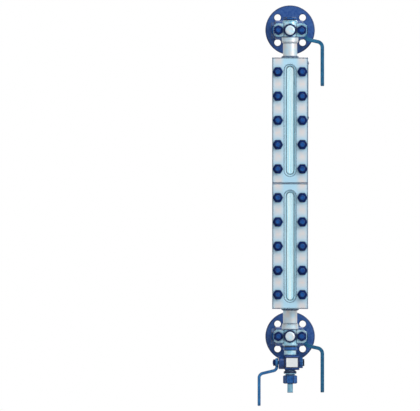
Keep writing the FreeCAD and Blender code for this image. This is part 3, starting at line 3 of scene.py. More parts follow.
import bpy
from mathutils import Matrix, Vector


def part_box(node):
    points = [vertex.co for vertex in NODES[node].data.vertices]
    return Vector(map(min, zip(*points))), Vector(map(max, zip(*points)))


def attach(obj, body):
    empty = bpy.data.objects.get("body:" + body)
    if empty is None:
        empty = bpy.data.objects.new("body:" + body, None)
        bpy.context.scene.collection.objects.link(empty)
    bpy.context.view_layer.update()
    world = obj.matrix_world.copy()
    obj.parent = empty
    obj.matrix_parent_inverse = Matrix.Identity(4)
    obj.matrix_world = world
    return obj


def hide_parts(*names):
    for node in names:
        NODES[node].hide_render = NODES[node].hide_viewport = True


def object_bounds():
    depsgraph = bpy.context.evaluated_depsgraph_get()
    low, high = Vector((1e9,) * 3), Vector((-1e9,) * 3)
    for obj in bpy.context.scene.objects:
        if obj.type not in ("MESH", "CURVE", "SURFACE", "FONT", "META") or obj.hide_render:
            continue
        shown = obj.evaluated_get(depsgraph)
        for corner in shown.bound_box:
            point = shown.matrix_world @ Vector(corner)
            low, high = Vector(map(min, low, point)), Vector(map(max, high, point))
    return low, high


# Tank level gauge: finishes, threads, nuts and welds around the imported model.
# Metres, in the model's own frame: X right and Z up seen from the glasses, +Y towards the tank.

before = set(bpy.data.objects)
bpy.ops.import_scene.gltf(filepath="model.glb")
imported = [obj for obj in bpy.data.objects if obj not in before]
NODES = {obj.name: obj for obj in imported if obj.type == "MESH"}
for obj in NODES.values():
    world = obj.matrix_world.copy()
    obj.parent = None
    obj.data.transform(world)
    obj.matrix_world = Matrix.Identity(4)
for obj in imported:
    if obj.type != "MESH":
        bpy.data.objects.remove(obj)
CAD_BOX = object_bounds()
MM = 0.001
TURN = 2 * math.pi
QUARTER = TURN / 4
PLACES = ("upper", "lower")

# Where things are, read from the model


def middle(node):
    """The middle of a node's box."""
    low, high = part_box(node)
    return (low + high) / 2


GAUGE_LOW, GAUGE_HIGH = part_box("gauge_body")
GAUGE_Y = middle("gauge_body").y
PLUG_Y = middle("upper_cock_plug").y
COCK_Z = {"upper": middle("upper_cock_body").z, "lower": middle("lower_cock_body").z}
HALFWAY = (COCK_Z["upper"] + COCK_Z["lower"]) / 2
DRAIN = middle("drain_plug")
COVER_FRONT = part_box("upper_cover")[0].y
LEVER_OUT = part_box("upper_lever")[1].x
DRAIN_LEVER_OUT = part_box("drain_lever")[0].x
FLANGE_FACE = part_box("lower_cock_body")[1].y

# Fastener sizes; a thread's depth and its nut's bore are shares of the pitch

M12 = 12 * MM
M12_PITCH = 1.75 * MM
THREAD_DEPTH = 0.6134 * M12_PITCH
NUT_BORE = M12 - 2 * 0.5413 * M12_PITCH
COVER_NUT_FLATS = 19 * MM
HEAD_NUT_FLATS = 18 * MM
BOLT_ROWS = 5

# Levers: a groove starts and ends so far below its axis; its step and its deeper middle lie
# so far in from the lever's outer side, each a middle and a reach; the bend's painted highlight and
# the mark are from, to, half width

LEVER_GROOVE_FROM = 39 * MM
DRAIN_LEVER_GROOVE = (36 * MM, 87 * MM)
GROOVE_HALF = 4.2 * MM
GROOVE_STEP = (0.75 * MM, 0.6 * MM)
GROOVE_CORE = (1.85 * MM, 0.5 * MM)
BEND_HIGHLIGHT = (14 * MM, 38 * MM, 5.9 * MM)
GREEN_SQUARE = (24 * MM, 33 * MM, 4.1 * MM)

# Drain: the milled flat, half its width and height, how deep it lies and the dark lip round it;
# the cap's end face, its rubbed rim and its boss; the coated rings, each a height and a half

DRAIN_FLAT_X = 4.15 * MM
DRAIN_FLAT = (12.1 * MM, 9.6 * MM)
DRAIN_FLAT_SUNK = 0.6 * MM
DRAIN_FLAT_LIP = 1.4 * MM
CAP_FACE_BACK = 3.9 * MM
CAP_RUBBED_FROM = 9 * MM
CAP_BOSS_END = 0.4 * MM
ADAPTER_RING = (COCK_Z["lower"] - 26 * MM, 3.3 * MM)
NIPPLE_COLLAR = (DRAIN.z - 20.4 * MM, 2.1 * MM)

# Covers, plate and plugs, measured across from the middle, in from the edge and out from the axis

SLOT_CUT = 20 * MM
LAND_MIDDLE = 25.5 * MM
LAND_FADE = (4 * MM, 13 * MM)
# Painted shade turns the covers blue this far from other parts
SHADE_TINT_REACH = 16 * MM
PLATE_RIM = 2.2 * MM
PLUG_FACE = (9.8 * MM, 10 * MM)

# Coated rod ends: inside the covers' front, inside the head nuts, and so far from halfway up

BOLT_COATED = 5 * MM
STUD_COATED = 4 * MM
HEADS_FROM = 300 * MM

# Camera, lamps, floor and background; the photograph's size and the upper cock's place in it

PHOTO_SIZE = (420, 411)
UPPER_AXIS_PIXEL = (290.1, 30.1)
PIXEL = 2.122 * MM
CAMERA_BACK = 3.0
FLOOR_GAP = 40 * MM
FLOOR_WIDTH = 8
FLOOR_WHITE = 0.5
ROOM_LIGHT = 0.32


def make_camera():
    """A flat front elevation, framed as the drawing is."""
    x = (PHOTO_SIZE[0] / 2 - UPPER_AXIS_PIXEL[0]) * PIXEL
    z = COCK_Z["upper"] - (PHOTO_SIZE[1] / 2 - UPPER_AXIS_PIXEL[1]) * PIXEL
    bpy.ops.object.camera_add(location=(x, -CAMERA_BACK, z), rotation=(QUARTER, 0, 0))
    camera = bpy.context.object
    camera.name = "front_elevation"
    camera.data.type = "ORTHO"
    camera.data.ortho_scale = PHOTO_SIZE[0] * PIXEL
    bpy.context.scene.camera = camera


def soft_lamp(name, place, power, width):
    """A square area lamp that faces the middle of the gauge and isn't seen itself."""
    target = Vector((0, GAUGE_Y, COCK_Z["upper"] / 2))
    bpy.ops.object.light_add(type="AREA", location=place)
    lamp = bpy.context.object
    lamp.name = name
    lamp.rotation_euler = (target - Vector(place)).to_track_quat("-Z", "Y").to_euler()
    lamp.data.energy = power
    lamp.data.size = width
    lamp.visible_camera = False


# Materials; marks of grinding, drawing and turning, too fine to show at their real size, are drawn
# as coarse as the render needs. Pairs are the two numbers or colours that a finish runs between

MASK_SOFT = 0.05 * MM
EDGE_REACH = 3.4 * MM
SOFT_LINE = (0.94, 0.99)
FIRM_LINE = (0.965, 0.997)
CRISP_LINE = (0.98, 0.998)
DARK_STEEL = "#1E4468"
DARK_BLUE = "#04102C"
PASSIVATED = ("#94D6F0", "#CCE8F2")
WORN_COATING = ("#164A8C", "#2F6AAE")
EVEN = (1, 1, 1)
# Pale enamel: a painted highlight on the cock levers' bend, and the pale deeper middle of both
# grooves
PALE_ENAMEL = "#A6ECFA"


def linear(code):
    """An sRGB hex colour as linear red, green, blue and alpha."""
    shares = [int(code[index:index + 2], 16) / 255 for index in (1, 3, 5)]
    return [s / 12.92 if s <= 0.04045 else ((s + 0.055) / 1.055) ** 2.4 for s in shares] + [1.0]


def add(tree, kind, settings=None, links=None):
    """One node: settings are its own properties or socket values, links are (node, output)."""
    item = tree.nodes.new(kind)
    for name, value in (settings or {}).items():
        if isinstance(name, int) or name in item.inputs:
            item.inputs[name].default_value = value
        else:
            setattr(item, name, value)
    for name, (source, output) in (links or {}).items():
        tree.links.new(source.outputs[output], item.inputs[name])
    return item


def start(name):
    """An empty material and its tree."""
    material = bpy.data.materials.new(name)
    material.use_nodes = True
    material.node_tree.nodes.clear()
    return material, material.node_tree


def end(tree, constants, links):
    """The surface: what is the same all over sits on the shader's own sockets."""
    shader = add(tree, "ShaderNodeBsdfPrincipled", constants, links)
    add(tree, "ShaderNodeOutputMaterial", links={"Surface": (shader, "BSDF")})


def grain(tree, size, detail=3, stretch=EVEN):
    """Noise whose features are about size metres across; stretch makes them longer on an axis."""
    where = add(tree, "ShaderNodeTexCoord")
    scale = [1 / (size * factor) for factor in stretch]
    placed = add(tree, "ShaderNodeMapping", {"Scale": scale}, {"Vector": (where, "Object")})
    return add(
        tree, "ShaderNodeTexNoise", {"Scale": 1, "Detail": detail}, {"Vector": (placed, "Vector")}
    )


def drift(tree, patch, first, second):
    """A colour that wanders between two, over patches of a given size."""
    clouds = grain(tree, patch)
    share = add(
        tree, "ShaderNodeMapRange", {"From Min": 0.35, "From Max": 0.65}, {"Value": (clouds, "Fac")}
    )
    return add(
        tree,
        "ShaderNodeMix",
        {"data_type": "RGBA", 6: linear(first), 7: linear(second)},
        {0: (share, "Result")},
    )


def facing(tree):
    """The way the surface points, as X, Y and Z."""
    surface = add(tree, "ShaderNodeNewGeometry")
    return add(tree, "ShaderNodeSeparateXYZ", links={"Vector": (surface, "True Normal")})


def skin(tree, size, detail, stretch, roughness, depth=None):
    """The links of a fine texture: roughness between two values, and relief of some depth."""
    texture = grain(tree, size, detail, stretch)
    rough = add(
        tree,
        "ShaderNodeMapRange",
        {"From Min": 0.3, "From Max": 0.7, "To Min": roughness[0], "To Max": roughness[1]},
        {"Value": (texture, "Fac")},
    )
    links = {"Roughness": (rough, "Result")}
    if depth:
        relief = add(
            tree,
            "ShaderNodeBump",
            {"Strength": 1.0, "Distance": depth},
            {"Height": (texture, "Fac")},
        )
        links["Normal"] = (relief, "Normal")
    return links


def shaded_and_lined(tree, colour, dark, reach=2.5 * MM, edge=EDGE_REACH, flat=SOFT_LINE):
    """The colour with painted shade, darker where other metal is near, and a thin dark line along
    every edge;
    flat says how far a softened normal agrees with the face's own where the line begins and ends."""
    # Painted shade: the colour darkens wherever other parts lie within reach
    crevice_shade = add(tree, "ShaderNodeAmbientOcclusion", {"samples": 8, "Distance": reach})
    open_air = add(
        tree, "ShaderNodeMapRange", {"From Min": 0.4, "From Max": 0.9}, {"Value": (crevice_shade, "AO")}
    )
    softened = add(tree, "ShaderNodeBevel", {"samples": 6, "Radius": edge})
    surface = add(tree, "ShaderNodeNewGeometry")
    agree = add(
        tree,
        "ShaderNodeVectorMath",
        {"operation": "DOT_PRODUCT"},
        {0: (softened, "Normal"), 1: (surface, "True Normal")},
    )
    face = add(
        tree,
        "ShaderNodeMapRange",
        {"From Min": flat[0], "From Max": flat[1]},
        {"Value": (agree, "Value")},
    )
    unshaded_and_unlined = add(
        tree,
        "ShaderNodeMath",
        {"operation": "MULTIPLY"},
        {0: (open_air, "Result"), 1: (face, "Result")},
    )
    return add(
        tree,
        "ShaderNodeMix",
        {"data_type": "RGBA", 6: linear(dark)},
        {0: (unshaded_and_unlined, "Value"), 7: (colour, 2)},
    )


def along(tree, axis, centre=0.0):
    """The distance from a plane across an axis, in metres, the same on both sides of it."""
    where = add(tree, "ShaderNodeTexCoord")
    parts = add(tree, "ShaderNodeSeparateXYZ", links={"Vector": (where, "Object")})
    moved = add(
        tree, "ShaderNodeMath", {"operation": "SUBTRACT", 1: centre}, {0: (parts, axis)}
    )
    return add(tree, "ShaderNodeMath", {"operation": "ABSOLUTE"}, {0: (moved, "Value")})


def within(tree, axis, centre, half):
    """One inside a band across an axis and nought outside, with a soft edge."""
    distance = along(tree, axis, centre)
    return add(
        tree,
        "ShaderNodeMapRange",
        {"From Min": half + MASK_SOFT, "From Max": half - MASK_SOFT},
        {"Value": (distance, "Value")},
    )


def rectangle(tree, first, second):
    """One inside a rectangle and nought outside; each of its sides is (axis, centre, half)."""
    return add(
        tree,
        "ShaderNodeMath",
        {"operation": "MULTIPLY"},
        {0: (within(tree, *first), "Result"), 1: (within(tree, *second), "Result")},
    )


def beyond(tree, axis, place, soft=0.1 * MM):
    """One where the axis is past a place and nought before it; a negative soft looks back."""
    where = add(tree, "ShaderNodeTexCoord")
    parts = add(tree, "ShaderNodeSeparateXYZ", links={"Vector": (where, "Object")})
    return add(
        tree,
        "ShaderNodeMapRange",
        {"From Min": place, "From Max": place + soft},
        {"Value": (parts, axis)},
    )


def from_cock_level(tree):
    """The height above or below the nearer cock's middle."""
    halfway = along(tree, "Z", HALFWAY)
    reach = COCK_Z["upper"] - HALFWAY
    back = add(
        tree, "ShaderNodeMath", {"operation": "SUBTRACT", 1: reach}, {0: (halfway, "Value")}
    )
    return add(tree, "ShaderNodeMath", {"operation": "ABSOLUTE"}, {0: (back, "Value")})


def crosswise(tree, across, upright):
    """The distance from an axis, from the distances in the two directions across it."""
    squares = [
        add(tree, "ShaderNodeMath", {"operation": "POWER", 1: 2.0}, {0: (side, "Value")})
        for side in (across, upright)
    ]
    total = add(
        tree,
        "ShaderNodeMath",
        {"operation": "ADD"},
        {0: (squares[0], "Value"), 1: (squares[1], "Value")},
    )
    return add(tree, "ShaderNodeMath", {"operation": "SQRT"}, {0: (total, "Value")})


def from_bore_axis(tree):
    """The distance from the nearer cock's bore axis."""
    return crosswise(tree, along(tree, "X"), from_cock_level(tree))


def turned_rings(tree, radius, spacing, where):
    """The waves that a turning tool leaves, only where the mask is one."""
    phase = add(
        tree,
        "ShaderNodeMath",
        {"operation": "MULTIPLY", 1: TURN / spacing},
        {0: (radius, "Value")},
    )
    wave = add(tree, "ShaderNodeMath", {"operation": "SINE"}, {0: (phase, "Value")})
    return add(
        tree,
        "ShaderNodeMath",
        {"operation": "MULTIPLY"},
        {0: (wave, "Value"), 1: (where, "Result")},
    )


def plain_metal(
    name, first, second, patch, marks, stretch, roughness, metallic, depth, dark, reach=2.5 * MM
):
    """A metal whose colour drifts over patches, with tool marks along an axis, dark edges and
    painted shade.
    """
    material, tree = start(name)
    colour = drift(tree, patch, first, second)
    edged = shaded_and_lined(tree, colour, dark, reach)
    tooled = skin(tree, marks, 2, stretch, roughness, depth)
    end(tree, {"Metallic": metallic}, {"Base Color": (edged, 2), **tooled})
    return material


def coated(name, first, second, patch, wave, roughness, depth, gloss=0.3):
    """Polymer or graphite: an even colour with a faint skin, dark edges and painted shade."""
    material, tree = start(name)
    colour = drift(tree, patch, first, second)
    edged = shaded_and_lined(tree, colour, DARK_BLUE)
    peel = skin(tree, wave, 1, EVEN, roughness, depth)
    end(tree, {"Specular IOR Level": gloss}, {"Base Color": (edged, 2), **peel})
    return material


# Zinc plated steel, ground lengthwise: pale grey that drifts between warm and cool patches
satin_steel = plain_metal(
    "zinc_plated_ground_steel", "#BFDCEA", "#D8D2CF", 16 * MM, 2.2 * MM, (1, 1, 30),
    (0.36, 0.5), 0.35, 0.02 * MM, DARK_STEEL,
)
# Machined steel with a clear passivated film: lighter and cooler, with fine turning marks, and a
# wide painted shade where other parts are near
pale_steel = plain_metal(
    "clear_passivated_turned_steel", *PASSIVATED, 9 * MM, 1.6 * MM, EVEN,
    (0.28, 0.4), 0.4, 0.015 * MM, "#0A2A5C", 6 * MM,
)
# Turned stainless steel: neutral and brighter, with marks round its axis
stainless = plain_metal(
    "turned_stainless_steel", "#6EA0B8", "#90B4C4", 8 * MM, 1.2 * MM, (6, 1, 1),
    (0.22, 0.34), 0.8, 0.01 * MM, "#12355E",
)
# Fasteners under baked fluoropolymer: deep navy, satin, with a low index that reflects little
blue_fastener = coated(
    "baked_fluoropolymer", "#022060", "#083280", 6 * MM, 1.4 * MM, (0.36, 0.48), 0.02 * MM, 0.12
)
# The top plug, the cock caps and the union nut carry the same coating, worn lighter by wrenches
blue_hexagon = coated(
    "worn_fluoropolymer", *WORN_COATING, 4 * MM, 1.4 * MM, (0.36, 0.48), 0.02 * MM, 0.2
)
# Compressed graphite sheet: near black, dull
graphite = coated(
    "compressed_graphite_sheet", "#10203A", "#1C2C44", 3 * MM, 0.8 * MM, (0.6, 0.75), 0.03 * MM
)
# Braided graphite packing: dark grey
packing = coated(
    "braided_packing", "#3C3F45", "#4C5056", 2 * MM, 1 * MM, (0.7, 0.85), 0.1 * MM
)
# Annealed copper rings: warm, dull, darkened by heat
soft_copper = plain_metal(
    "annealed_copper", "#5E4A48", "#74574C", 5 * MM, 1 * MM, EVEN, (0.4, 0.55), 1.0,
    0.01 * MM, "#241A20",
)


def make_plate_metal():
    """Satin sheet metal plate, left blank: its rim and sheared edges are printed dark, and its
    field shows the brushing of the sheet."""
    material, tree = start("satin_plate_with_dark_rim")
    low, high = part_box("nameplate")
    centre = (low + high) / 2
    field = rectangle(
        tree,
        ("Y", centre.y, (high.y - low.y) / 2 - PLATE_RIM),
        ("Z", centre.z, (high.z - low.z) / 2 - PLATE_RIM),
    )
    brushed = drift(tree, 14 * MM, "#D2DCE2", "#DCD6D4")
    colour = add(
        tree,
        "ShaderNodeMix",
        {"data_type": "RGBA", 6: linear("#0E2444")},
        {0: (field, "Value"), 7: (brushed, 2)},
    )
    lines = skin(tree, 0.8 * MM, 2, (1, 1, 24), (0.32, 0.44))
    end(tree, {"Metallic": 0.4}, {"Base Color": (colour, 2), **lines})
    return material


plate_metal = make_plate_metal()


def make_cover_steel():
    """Zinc plate with a blue passivation, warm grey in patches on the two open lands and pale blue
    elsewhere; painted shade turns it blue wherever the nuts, the edges and the slot are near. The
    slot's bevel is cut bright, with a painted highlight on it, and every edge has a crisp dark
    line."""
    material, tree = start("blue_passivated_cover_plate")
    clouds = grain(tree, 7 * MM, 4)
    across = along(tree, "X")
    column = add(
        tree, "ShaderNodeMath", {"operation": "SUBTRACT", 1: LAND_MIDDLE}, {0: (across, "Value")}
    )
    off_column = add(tree, "ShaderNodeMath", {"operation": "ABSOLUTE"}, {0: (column, "Value")})
    open_land = add(
        tree,
        "ShaderNodeMapRange",
        {"From Min": LAND_FADE[1], "From Max": LAND_FADE[0]},
        {"Value": (off_column, "Value")},
    )
    # Painted shade: pale blue wherever other parts lie within this reach
    shade_near_parts = add(tree, "ShaderNodeAmbientOcclusion", {"samples": 8, "Distance": SHADE_TINT_REACH})
    clear = add(
        tree, "ShaderNodeMapRange", {"From Min": 0.72, "From Max": 1.0}, {"Value": (shade_near_parts, "AO")}
    )
    patches = add(
        tree,
        "ShaderNodeMapRange",
        {"From Min": 0.3, "From Max": 0.7, "To Min": 0.7, "To Max": 1.0},
        {"Value": (clouds, "Fac")},
    )
    unshaded_land = add(
        tree,
        "ShaderNodeMath",
        {"operation": "MULTIPLY"},
        {0: (open_land, "Result"), 1: (clear, "Result")},
    )
    warm = add(
        tree,
        "ShaderNodeMath",
        {"operation": "MULTIPLY"},
        {0: (unshaded_land, "Value"), 1: (patches, "Result")},
    )
    colour = add(
        tree,
        "ShaderNodeMix",
        {"data_type": "RGBA", 6: linear("#B4DCF0"), 7: linear("#E2DAD7")},
        {0: (warm, "Value")},
    )
    # The slot's bevel and walls are coloured bright: cut metal, with a painted highlight on it
    slanted = add(
        tree,
        "ShaderNodeMapRange",
        {"From Min": -0.9, "From Max": -0.8},
        {"Value": (facing(tree), "Y")},
    )
    by_slot = add(
        tree,
        "ShaderNodeMapRange",
        {"From Min": SLOT_CUT + 0.1 * MM, "From Max": SLOT_CUT},
        {"Value": (across, "Value")},
    )
    cut = add(
        tree,
        "ShaderNodeMath",
        {"operation": "MULTIPLY"},
        {0: (slanted, "Result"), 1: (by_slot, "Result")},
    )
    cut_and_highlighted = add(
        tree,
        "ShaderNodeMix",
        {"data_type": "RGBA", 7: linear("#D2F2FC")},
        {0: (cut, "Value"), 6: (colour, 2)},
    )
    edged = shaded_and_lined(tree, cut_and_highlighted, "#0C3058", 2.2 * MM, 3.2 * MM, CRISP_LINE)
    lines = skin(tree, 2.2 * MM, 2, (1, 1, 30), (0.38, 0.52), 0.02 * MM)
    end(tree, {"Metallic": 0.3}, {"Base Color": (edged, 2), **lines})
    return material


cover_steel = make_cover_steel()


def make_rod_steel():
    """Bright drawn rod with draw marks along it; its threaded ends, from inside the nuts to the
    tips, carry the nuts' blue coating, rubbed lighter."""
    material, tree = start("drawn_rod_with_coated_ends")
    bright = drift(tree, 14 * MM, "#96C8E0", "#B9D6E2")
    bolt_end = beyond(tree, "Y", COVER_FRONT - BOLT_COATED, -0.1 * MM)
    stud_end = beyond(tree, "Y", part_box("upper_head_nuts")[0].y + STUD_COATED, -0.1 * MM)
    height = along(tree, "Z", HALFWAY)
    on_heads = add(
        tree,
        "ShaderNodeMapRange",
        {"From Min": HEADS_FROM, "From Max": HEADS_FROM + MM},
        {"Value": (height, "Value")},
    )
    stud = add(
        tree,
        "ShaderNodeMath",
        {"operation": "MULTIPLY"},
        {0: (stud_end, "Result"), 1: (on_heads, "Result")},
    )
    ends = add(
        tree,
        "ShaderNodeMath",
        {"operation": "MAXIMUM"},
        {0: (bolt_end, "Result"), 1: (stud, "Value")},
    )
    blue = drift(tree, 2.5 * MM, "#06367E", "#175CA6")
    colour = add(
        tree,
        "ShaderNodeMix",
        {"data_type": "RGBA"},
        {0: (ends, "Value"), 6: (bright, 2), 7: (blue, 2)},
    )
    edged = shaded_and_lined(tree, colour, "#061C46", 1.5 * MM, 1.0 * MM)
    metal = add(
        tree, "ShaderNodeMapRange", {"To Min": 0.6, "To Max": 0.0}, {"Value": (ends, "Value")}
    )
    lines = skin(tree, 1.5 * MM, 2, (1, 12, 1), (0.32, 0.46), 0.012 * MM)
    end(
        tree,
        {"Specular IOR Level": 0.25},
        {"Base Color": (edged, 2), "Metallic": (metal, "Result"), **lines},
    )
    return material


rod_steel = make_rod_steel()


def make_enamel_forging():
    """Forged steel under gloss enamel: royal blue over the forging skin; the raised face stays bare
    and turned, with fine rings round the bore."""
    material, tree = start("gloss_enamel_on_forging")
    paint = drift(tree, 5 * MM, "#1C4C94", "#3560A0")
    bare = beyond(tree, "Y", FLANGE_FACE - 0.3 * MM)
    colour = add(
        tree,
        "ShaderNodeMix",
        {"data_type": "RGBA", 7: linear("#B4C2C9")},
        {0: (bare, "Result"), 6: (paint, 2)},
    )
    edged = shaded_and_lined(tree, colour, DARK_BLUE, edge=4 * MM, flat=FIRM_LINE)
    rings = turned_rings(tree, from_bore_axis(tree), 0.8 * MM, bare)
    peel = skin(tree, 2.6 * MM, 1, EVEN, (0.34, 0.46), 0.06 * MM)
    turning = add(
        tree,
        "ShaderNodeBump",
        {"Strength": 0.6, "Distance": 0.05 * MM},
        {"Height": (rings, "Value"), "Normal": peel["Normal"]},
    )
    end(
        tree,
        {"Coat Weight": 0.1, "Coat Roughness": 0.15, "Specular IOR Level": 0.35},
        {
            "Base Color": (edged, 2),
            "Metallic": (bare, "Result"),
            "Roughness": peel["Roughness"],
            "Normal": (turning, "Normal"),
        },
    )
    return material


blue_enamel = make_enamel_forging()


def make_drain_enamel():
    """The drain body's enamel, with the flat at its front milled bare: nearly white steel inside
    a dark lip."""
    material, tree = start("enamel_with_milled_flat")
    paint = drift(tree, 7 * MM, "#0A2F6C", "#1B4A8C")
    floor_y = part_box("drain_body")[0].y + DRAIN_FLAT_SUNK
    on_front = beyond(tree, "Y", floor_y + 0.1 * MM, -0.05 * MM)
    half_wide, half_tall = DRAIN_FLAT
    flat = rectangle(tree, ("X", DRAIN_FLAT_X, half_wide), ("Z", DRAIN.z, half_tall))
    milled = add(
        tree,
        "ShaderNodeMath",
        {"operation": "MULTIPLY"},
        {0: (flat, "Value"), 1: (on_front, "Result")},
    )
    edged = shaded_and_lined(tree, paint, DARK_BLUE)
    lip = rectangle(
        tree,
        ("X", DRAIN_FLAT_X, half_wide + DRAIN_FLAT_LIP),
        ("Z", DRAIN.z, half_tall + DRAIN_FLAT_LIP),
    )
    broken = add(
        tree,
        "ShaderNodeMix",
        {"data_type": "RGBA", 7: linear(DARK_BLUE)},
        {0: (lip, "Value"), 6: (edged, 2)},
    )
    colour = add(
        tree,
        "ShaderNodeMix",
        {"data_type": "RGBA", 7: linear("#F6F9FA")},
        {0: (milled, "Value"), 6: (broken, 2)},
    )
    peel = skin(tree, 2.6 * MM, 1, EVEN, (0.34, 0.46), 0.04 * MM)
    end(
        tree,
        {"Coat Weight": 0.1, "Coat Roughness": 0.15, "Specular IOR Level": 0.3},
        {"Base Color": (colour, 2), **peel},
    )
    return material


drain_enamel = make_drain_enamel()


def in_groove(tree, outer_x, inwards, part, centre_y, lengthwise):
    """One on a part of a lever's pressed groove and nought outside; inwards is 1 or -1."""
    depth, reach = part
    both = rectangle(
        tree, ("X", outer_x + inwards * depth, reach), ("Y", centre_y, GROOVE_HALF)
    )
    return add(
        tree,
        "ShaderNodeMath",
        {"operation": "MULTIPLY"},
        {0: (both, "Value"), 1: (lengthwise, "Result")},
    )


def shaded_groove_step(tree, paint, step):
    """Painted shade: the step round the groove's middle, down in the groove's recess, is coloured
    darker.
    """
    return add(
        tree,
        "ShaderNodeMix",
        {"data_type": "RGBA", 7: linear("#08264C")},
        {0: (step, "Value"), 6: (paint, 2)},
    )


def enamelled_bar(tree, colour):
    """The last nodes of both levers: dark edges, painted shade, orange peel and a soft gloss."""
    edged = shaded_and_lined(tree, colour, "#06204A", 2 * MM, 1.8 * MM)
    peel = skin(tree, 2 * MM, 1, EVEN, (0.3, 0.42), 0.04 * MM)
    end(
        tree,
        {"Coat Weight": 0.05, "Coat Roughness": 0.15, "Specular IOR Level": 0.2},
        {"Base Color": (edged, 2), **peel},
    )


def make_cock_lever_enamel():
    """Baked teal enamel on pressed bar. The bend between the hub and the groove carries a painted
    highlight with a small green square, the plain open mark; the groove's deeper middle is painted
    pale."""
    material, tree = start("baked_enamel_on_pressed_bar")
    paint = drift(tree, 12 * MM, "#175A80", "#2C7096")
    level = from_cock_level(tree)
    lengthwise = add(
        tree,
        "ShaderNodeMapRange",
        {"From Min": LEVER_GROOVE_FROM - 0.1 * MM, "From Max": LEVER_GROOVE_FROM},
        {"Value": (level, "Value")},
    )
    step = in_groove(tree, LEVER_OUT, -1, GROOVE_STEP, PLUG_Y, lengthwise)
    core = in_groove(tree, LEVER_OUT, -1, GROOVE_CORE, PLUG_Y, lengthwise)
    paint = shaded_groove_step(tree, paint, step)
    outer_side = add(
        tree,
        "ShaderNodeMapRange",
        {"From Min": 0.2, "From Max": 0.25},
        {"Value": (facing(tree), "X")},
    )
    masks = []
    for from_level, to_level, half in (BEND_HIGHLIGHT, GREEN_SQUARE):
        beside = within(tree, "Y", PLUG_Y, half)
        off_middle = add(
            tree,
            "ShaderNodeMath",
            {"operation": "SUBTRACT", 1: (from_level + to_level) / 2},
            {0: (level, "Value")},
        )
        away = add(tree, "ShaderNodeMath", {"operation": "ABSOLUTE"}, {0: (off_middle, "Value")})
        long_half = (to_level - from_level) / 2
        upright = add(
            tree,
            "ShaderNodeMapRange",
            {"From Min": long_half + MASK_SOFT, "From Max": long_half - MASK_SOFT},
            {"Value": (away, "Value")},
        )
        box = add(
            tree,
            "ShaderNodeMath",
            {"operation": "MULTIPLY"},
            {0: (beside, "Result"), 1: (upright, "Result")},
        )
        masks.append(
            add(
                tree,
                "ShaderNodeMath",
                {"operation": "MULTIPLY"},
                {0: (box, "Value"), 1: (outer_side, "Result")},
            )
        )
    bend_highlight, square = masks
    # Painted highlight on the bend, and the pale groove middle, laid over the paint
    bright = add(
        tree,
        "ShaderNodeMath",
        {"operation": "MAXIMUM"},
        {0: (bend_highlight, "Value"), 1: (core, "Value")},
    )
    rubbed = add(
        tree,
        "ShaderNodeMix",
        {"data_type": "RGBA", 7: linear(PALE_ENAMEL)},
        {0: (bright, "Value"), 6: (paint, 2)},
    )
    colour = add(
        tree,
        "ShaderNodeMix",
        {"data_type": "RGBA", 7: linear("#92C9A8")},
        {0: (square, "Value"), 6: (rubbed, 2)},
    )
    enamelled_bar(tree, colour)
    return material


def make_drain_lever_enamel():
    """The small lever's enamel, a clearer blue, with its groove's deeper middle painted pale and
    its step darker as painted shade.
    """
    material, tree = start("baked_enamel_on_drain_lever")
    paint = drift(tree, 12 * MM, "#26629C", "#3A7CB4")
    drop_from, drop_to = DRAIN_LEVER_GROOVE
    lengthwise = within(tree, "Z", DRAIN.z - (drop_from + drop_to) / 2, (drop_to - drop_from) / 2)
    step = in_groove(tree, DRAIN_LEVER_OUT, 1, GROOVE_STEP, GAUGE_Y, lengthwise)
    core = in_groove(tree, DRAIN_LEVER_OUT, 1, GROOVE_CORE, GAUGE_Y, lengthwise)
    paint = shaded_groove_step(tree, paint, step)
    colour = add(
        tree,
        "ShaderNodeMix",
        {"data_type": "RGBA", 7: linear(PALE_ENAMEL)},
        {0: (core, "Value"), 6: (paint, 2)},
    )
    enamelled_bar(tree, colour)
    return material


teal_enamel = make_cock_lever_enamel()
drain_teal = make_drain_lever_enamel()


def make_plug_steel():
    """The front plugs: a pale passivated hexagon whose front is coated navy round the bare face,
    which is turned."""
    material, tree = start("coated_plug_with_turned_face")
    radius = from_bore_axis(tree)
    face = add(
        tree,
        "ShaderNodeMapRange",
        {"From Min": PLUG_FACE[1], "From Max": PLUG_FACE[0]},
        {"Value": (radius, "Value")},
    )
    turned_face = drift(tree, 8 * MM, "#C4E6F4", "#DADCE0")
    side = add(
        tree,
        "ShaderNodeMapRange",
        {"From Min": -0.3, "From Max": -0.2},
        {"Value": (facing(tree), "Y")},
    )
    passivated = drift(tree, 9 * MM, *PASSIVATED)
    edged = shaded_and_lined(tree, passivated, "#0A2A5C", 2.5 * MM, 3 * MM, FIRM_LINE)
    hexagon = add(
        tree,
        "ShaderNodeMix",
        {"data_type": "RGBA", 6: linear("#062050")},
        {0: (side, "Result"), 7: (edged, 2)},
    )
    colour = add(
        tree,
        "ShaderNodeMix",
        {"data_type": "RGBA"},
        {0: (face, "Result"), 6: (hexagon, 2), 7: (turned_face, 2)},
    )
    bare = add(
        tree,
        "ShaderNodeMath",
        {"operation": "MAXIMUM"},
        {0: (face, "Result"), 1: (side, "Result")},
    )
    metal = add(tree, "ShaderNodeMath", {"operation": "MULTIPLY", 1: 0.4}, {0: (bare, "Value")})
    rings = turned_rings(tree, radius, 0.9 * MM, face)
    turning = add(
        tree,
        "ShaderNodeBump",
        {"Strength": 0.5, "Distance": 0.04 * MM},
        {"Height": (rings, "Value")},
    )
    end(
        tree,
        {"Roughness": 0.4, "Specular IOR Level": 0.25},
        {"Base Color": (colour, 2), "Metallic": (metal, "Value"), "Normal": (turning, "Normal")},
    )
    return material


plug_steel = make_plug_steel()


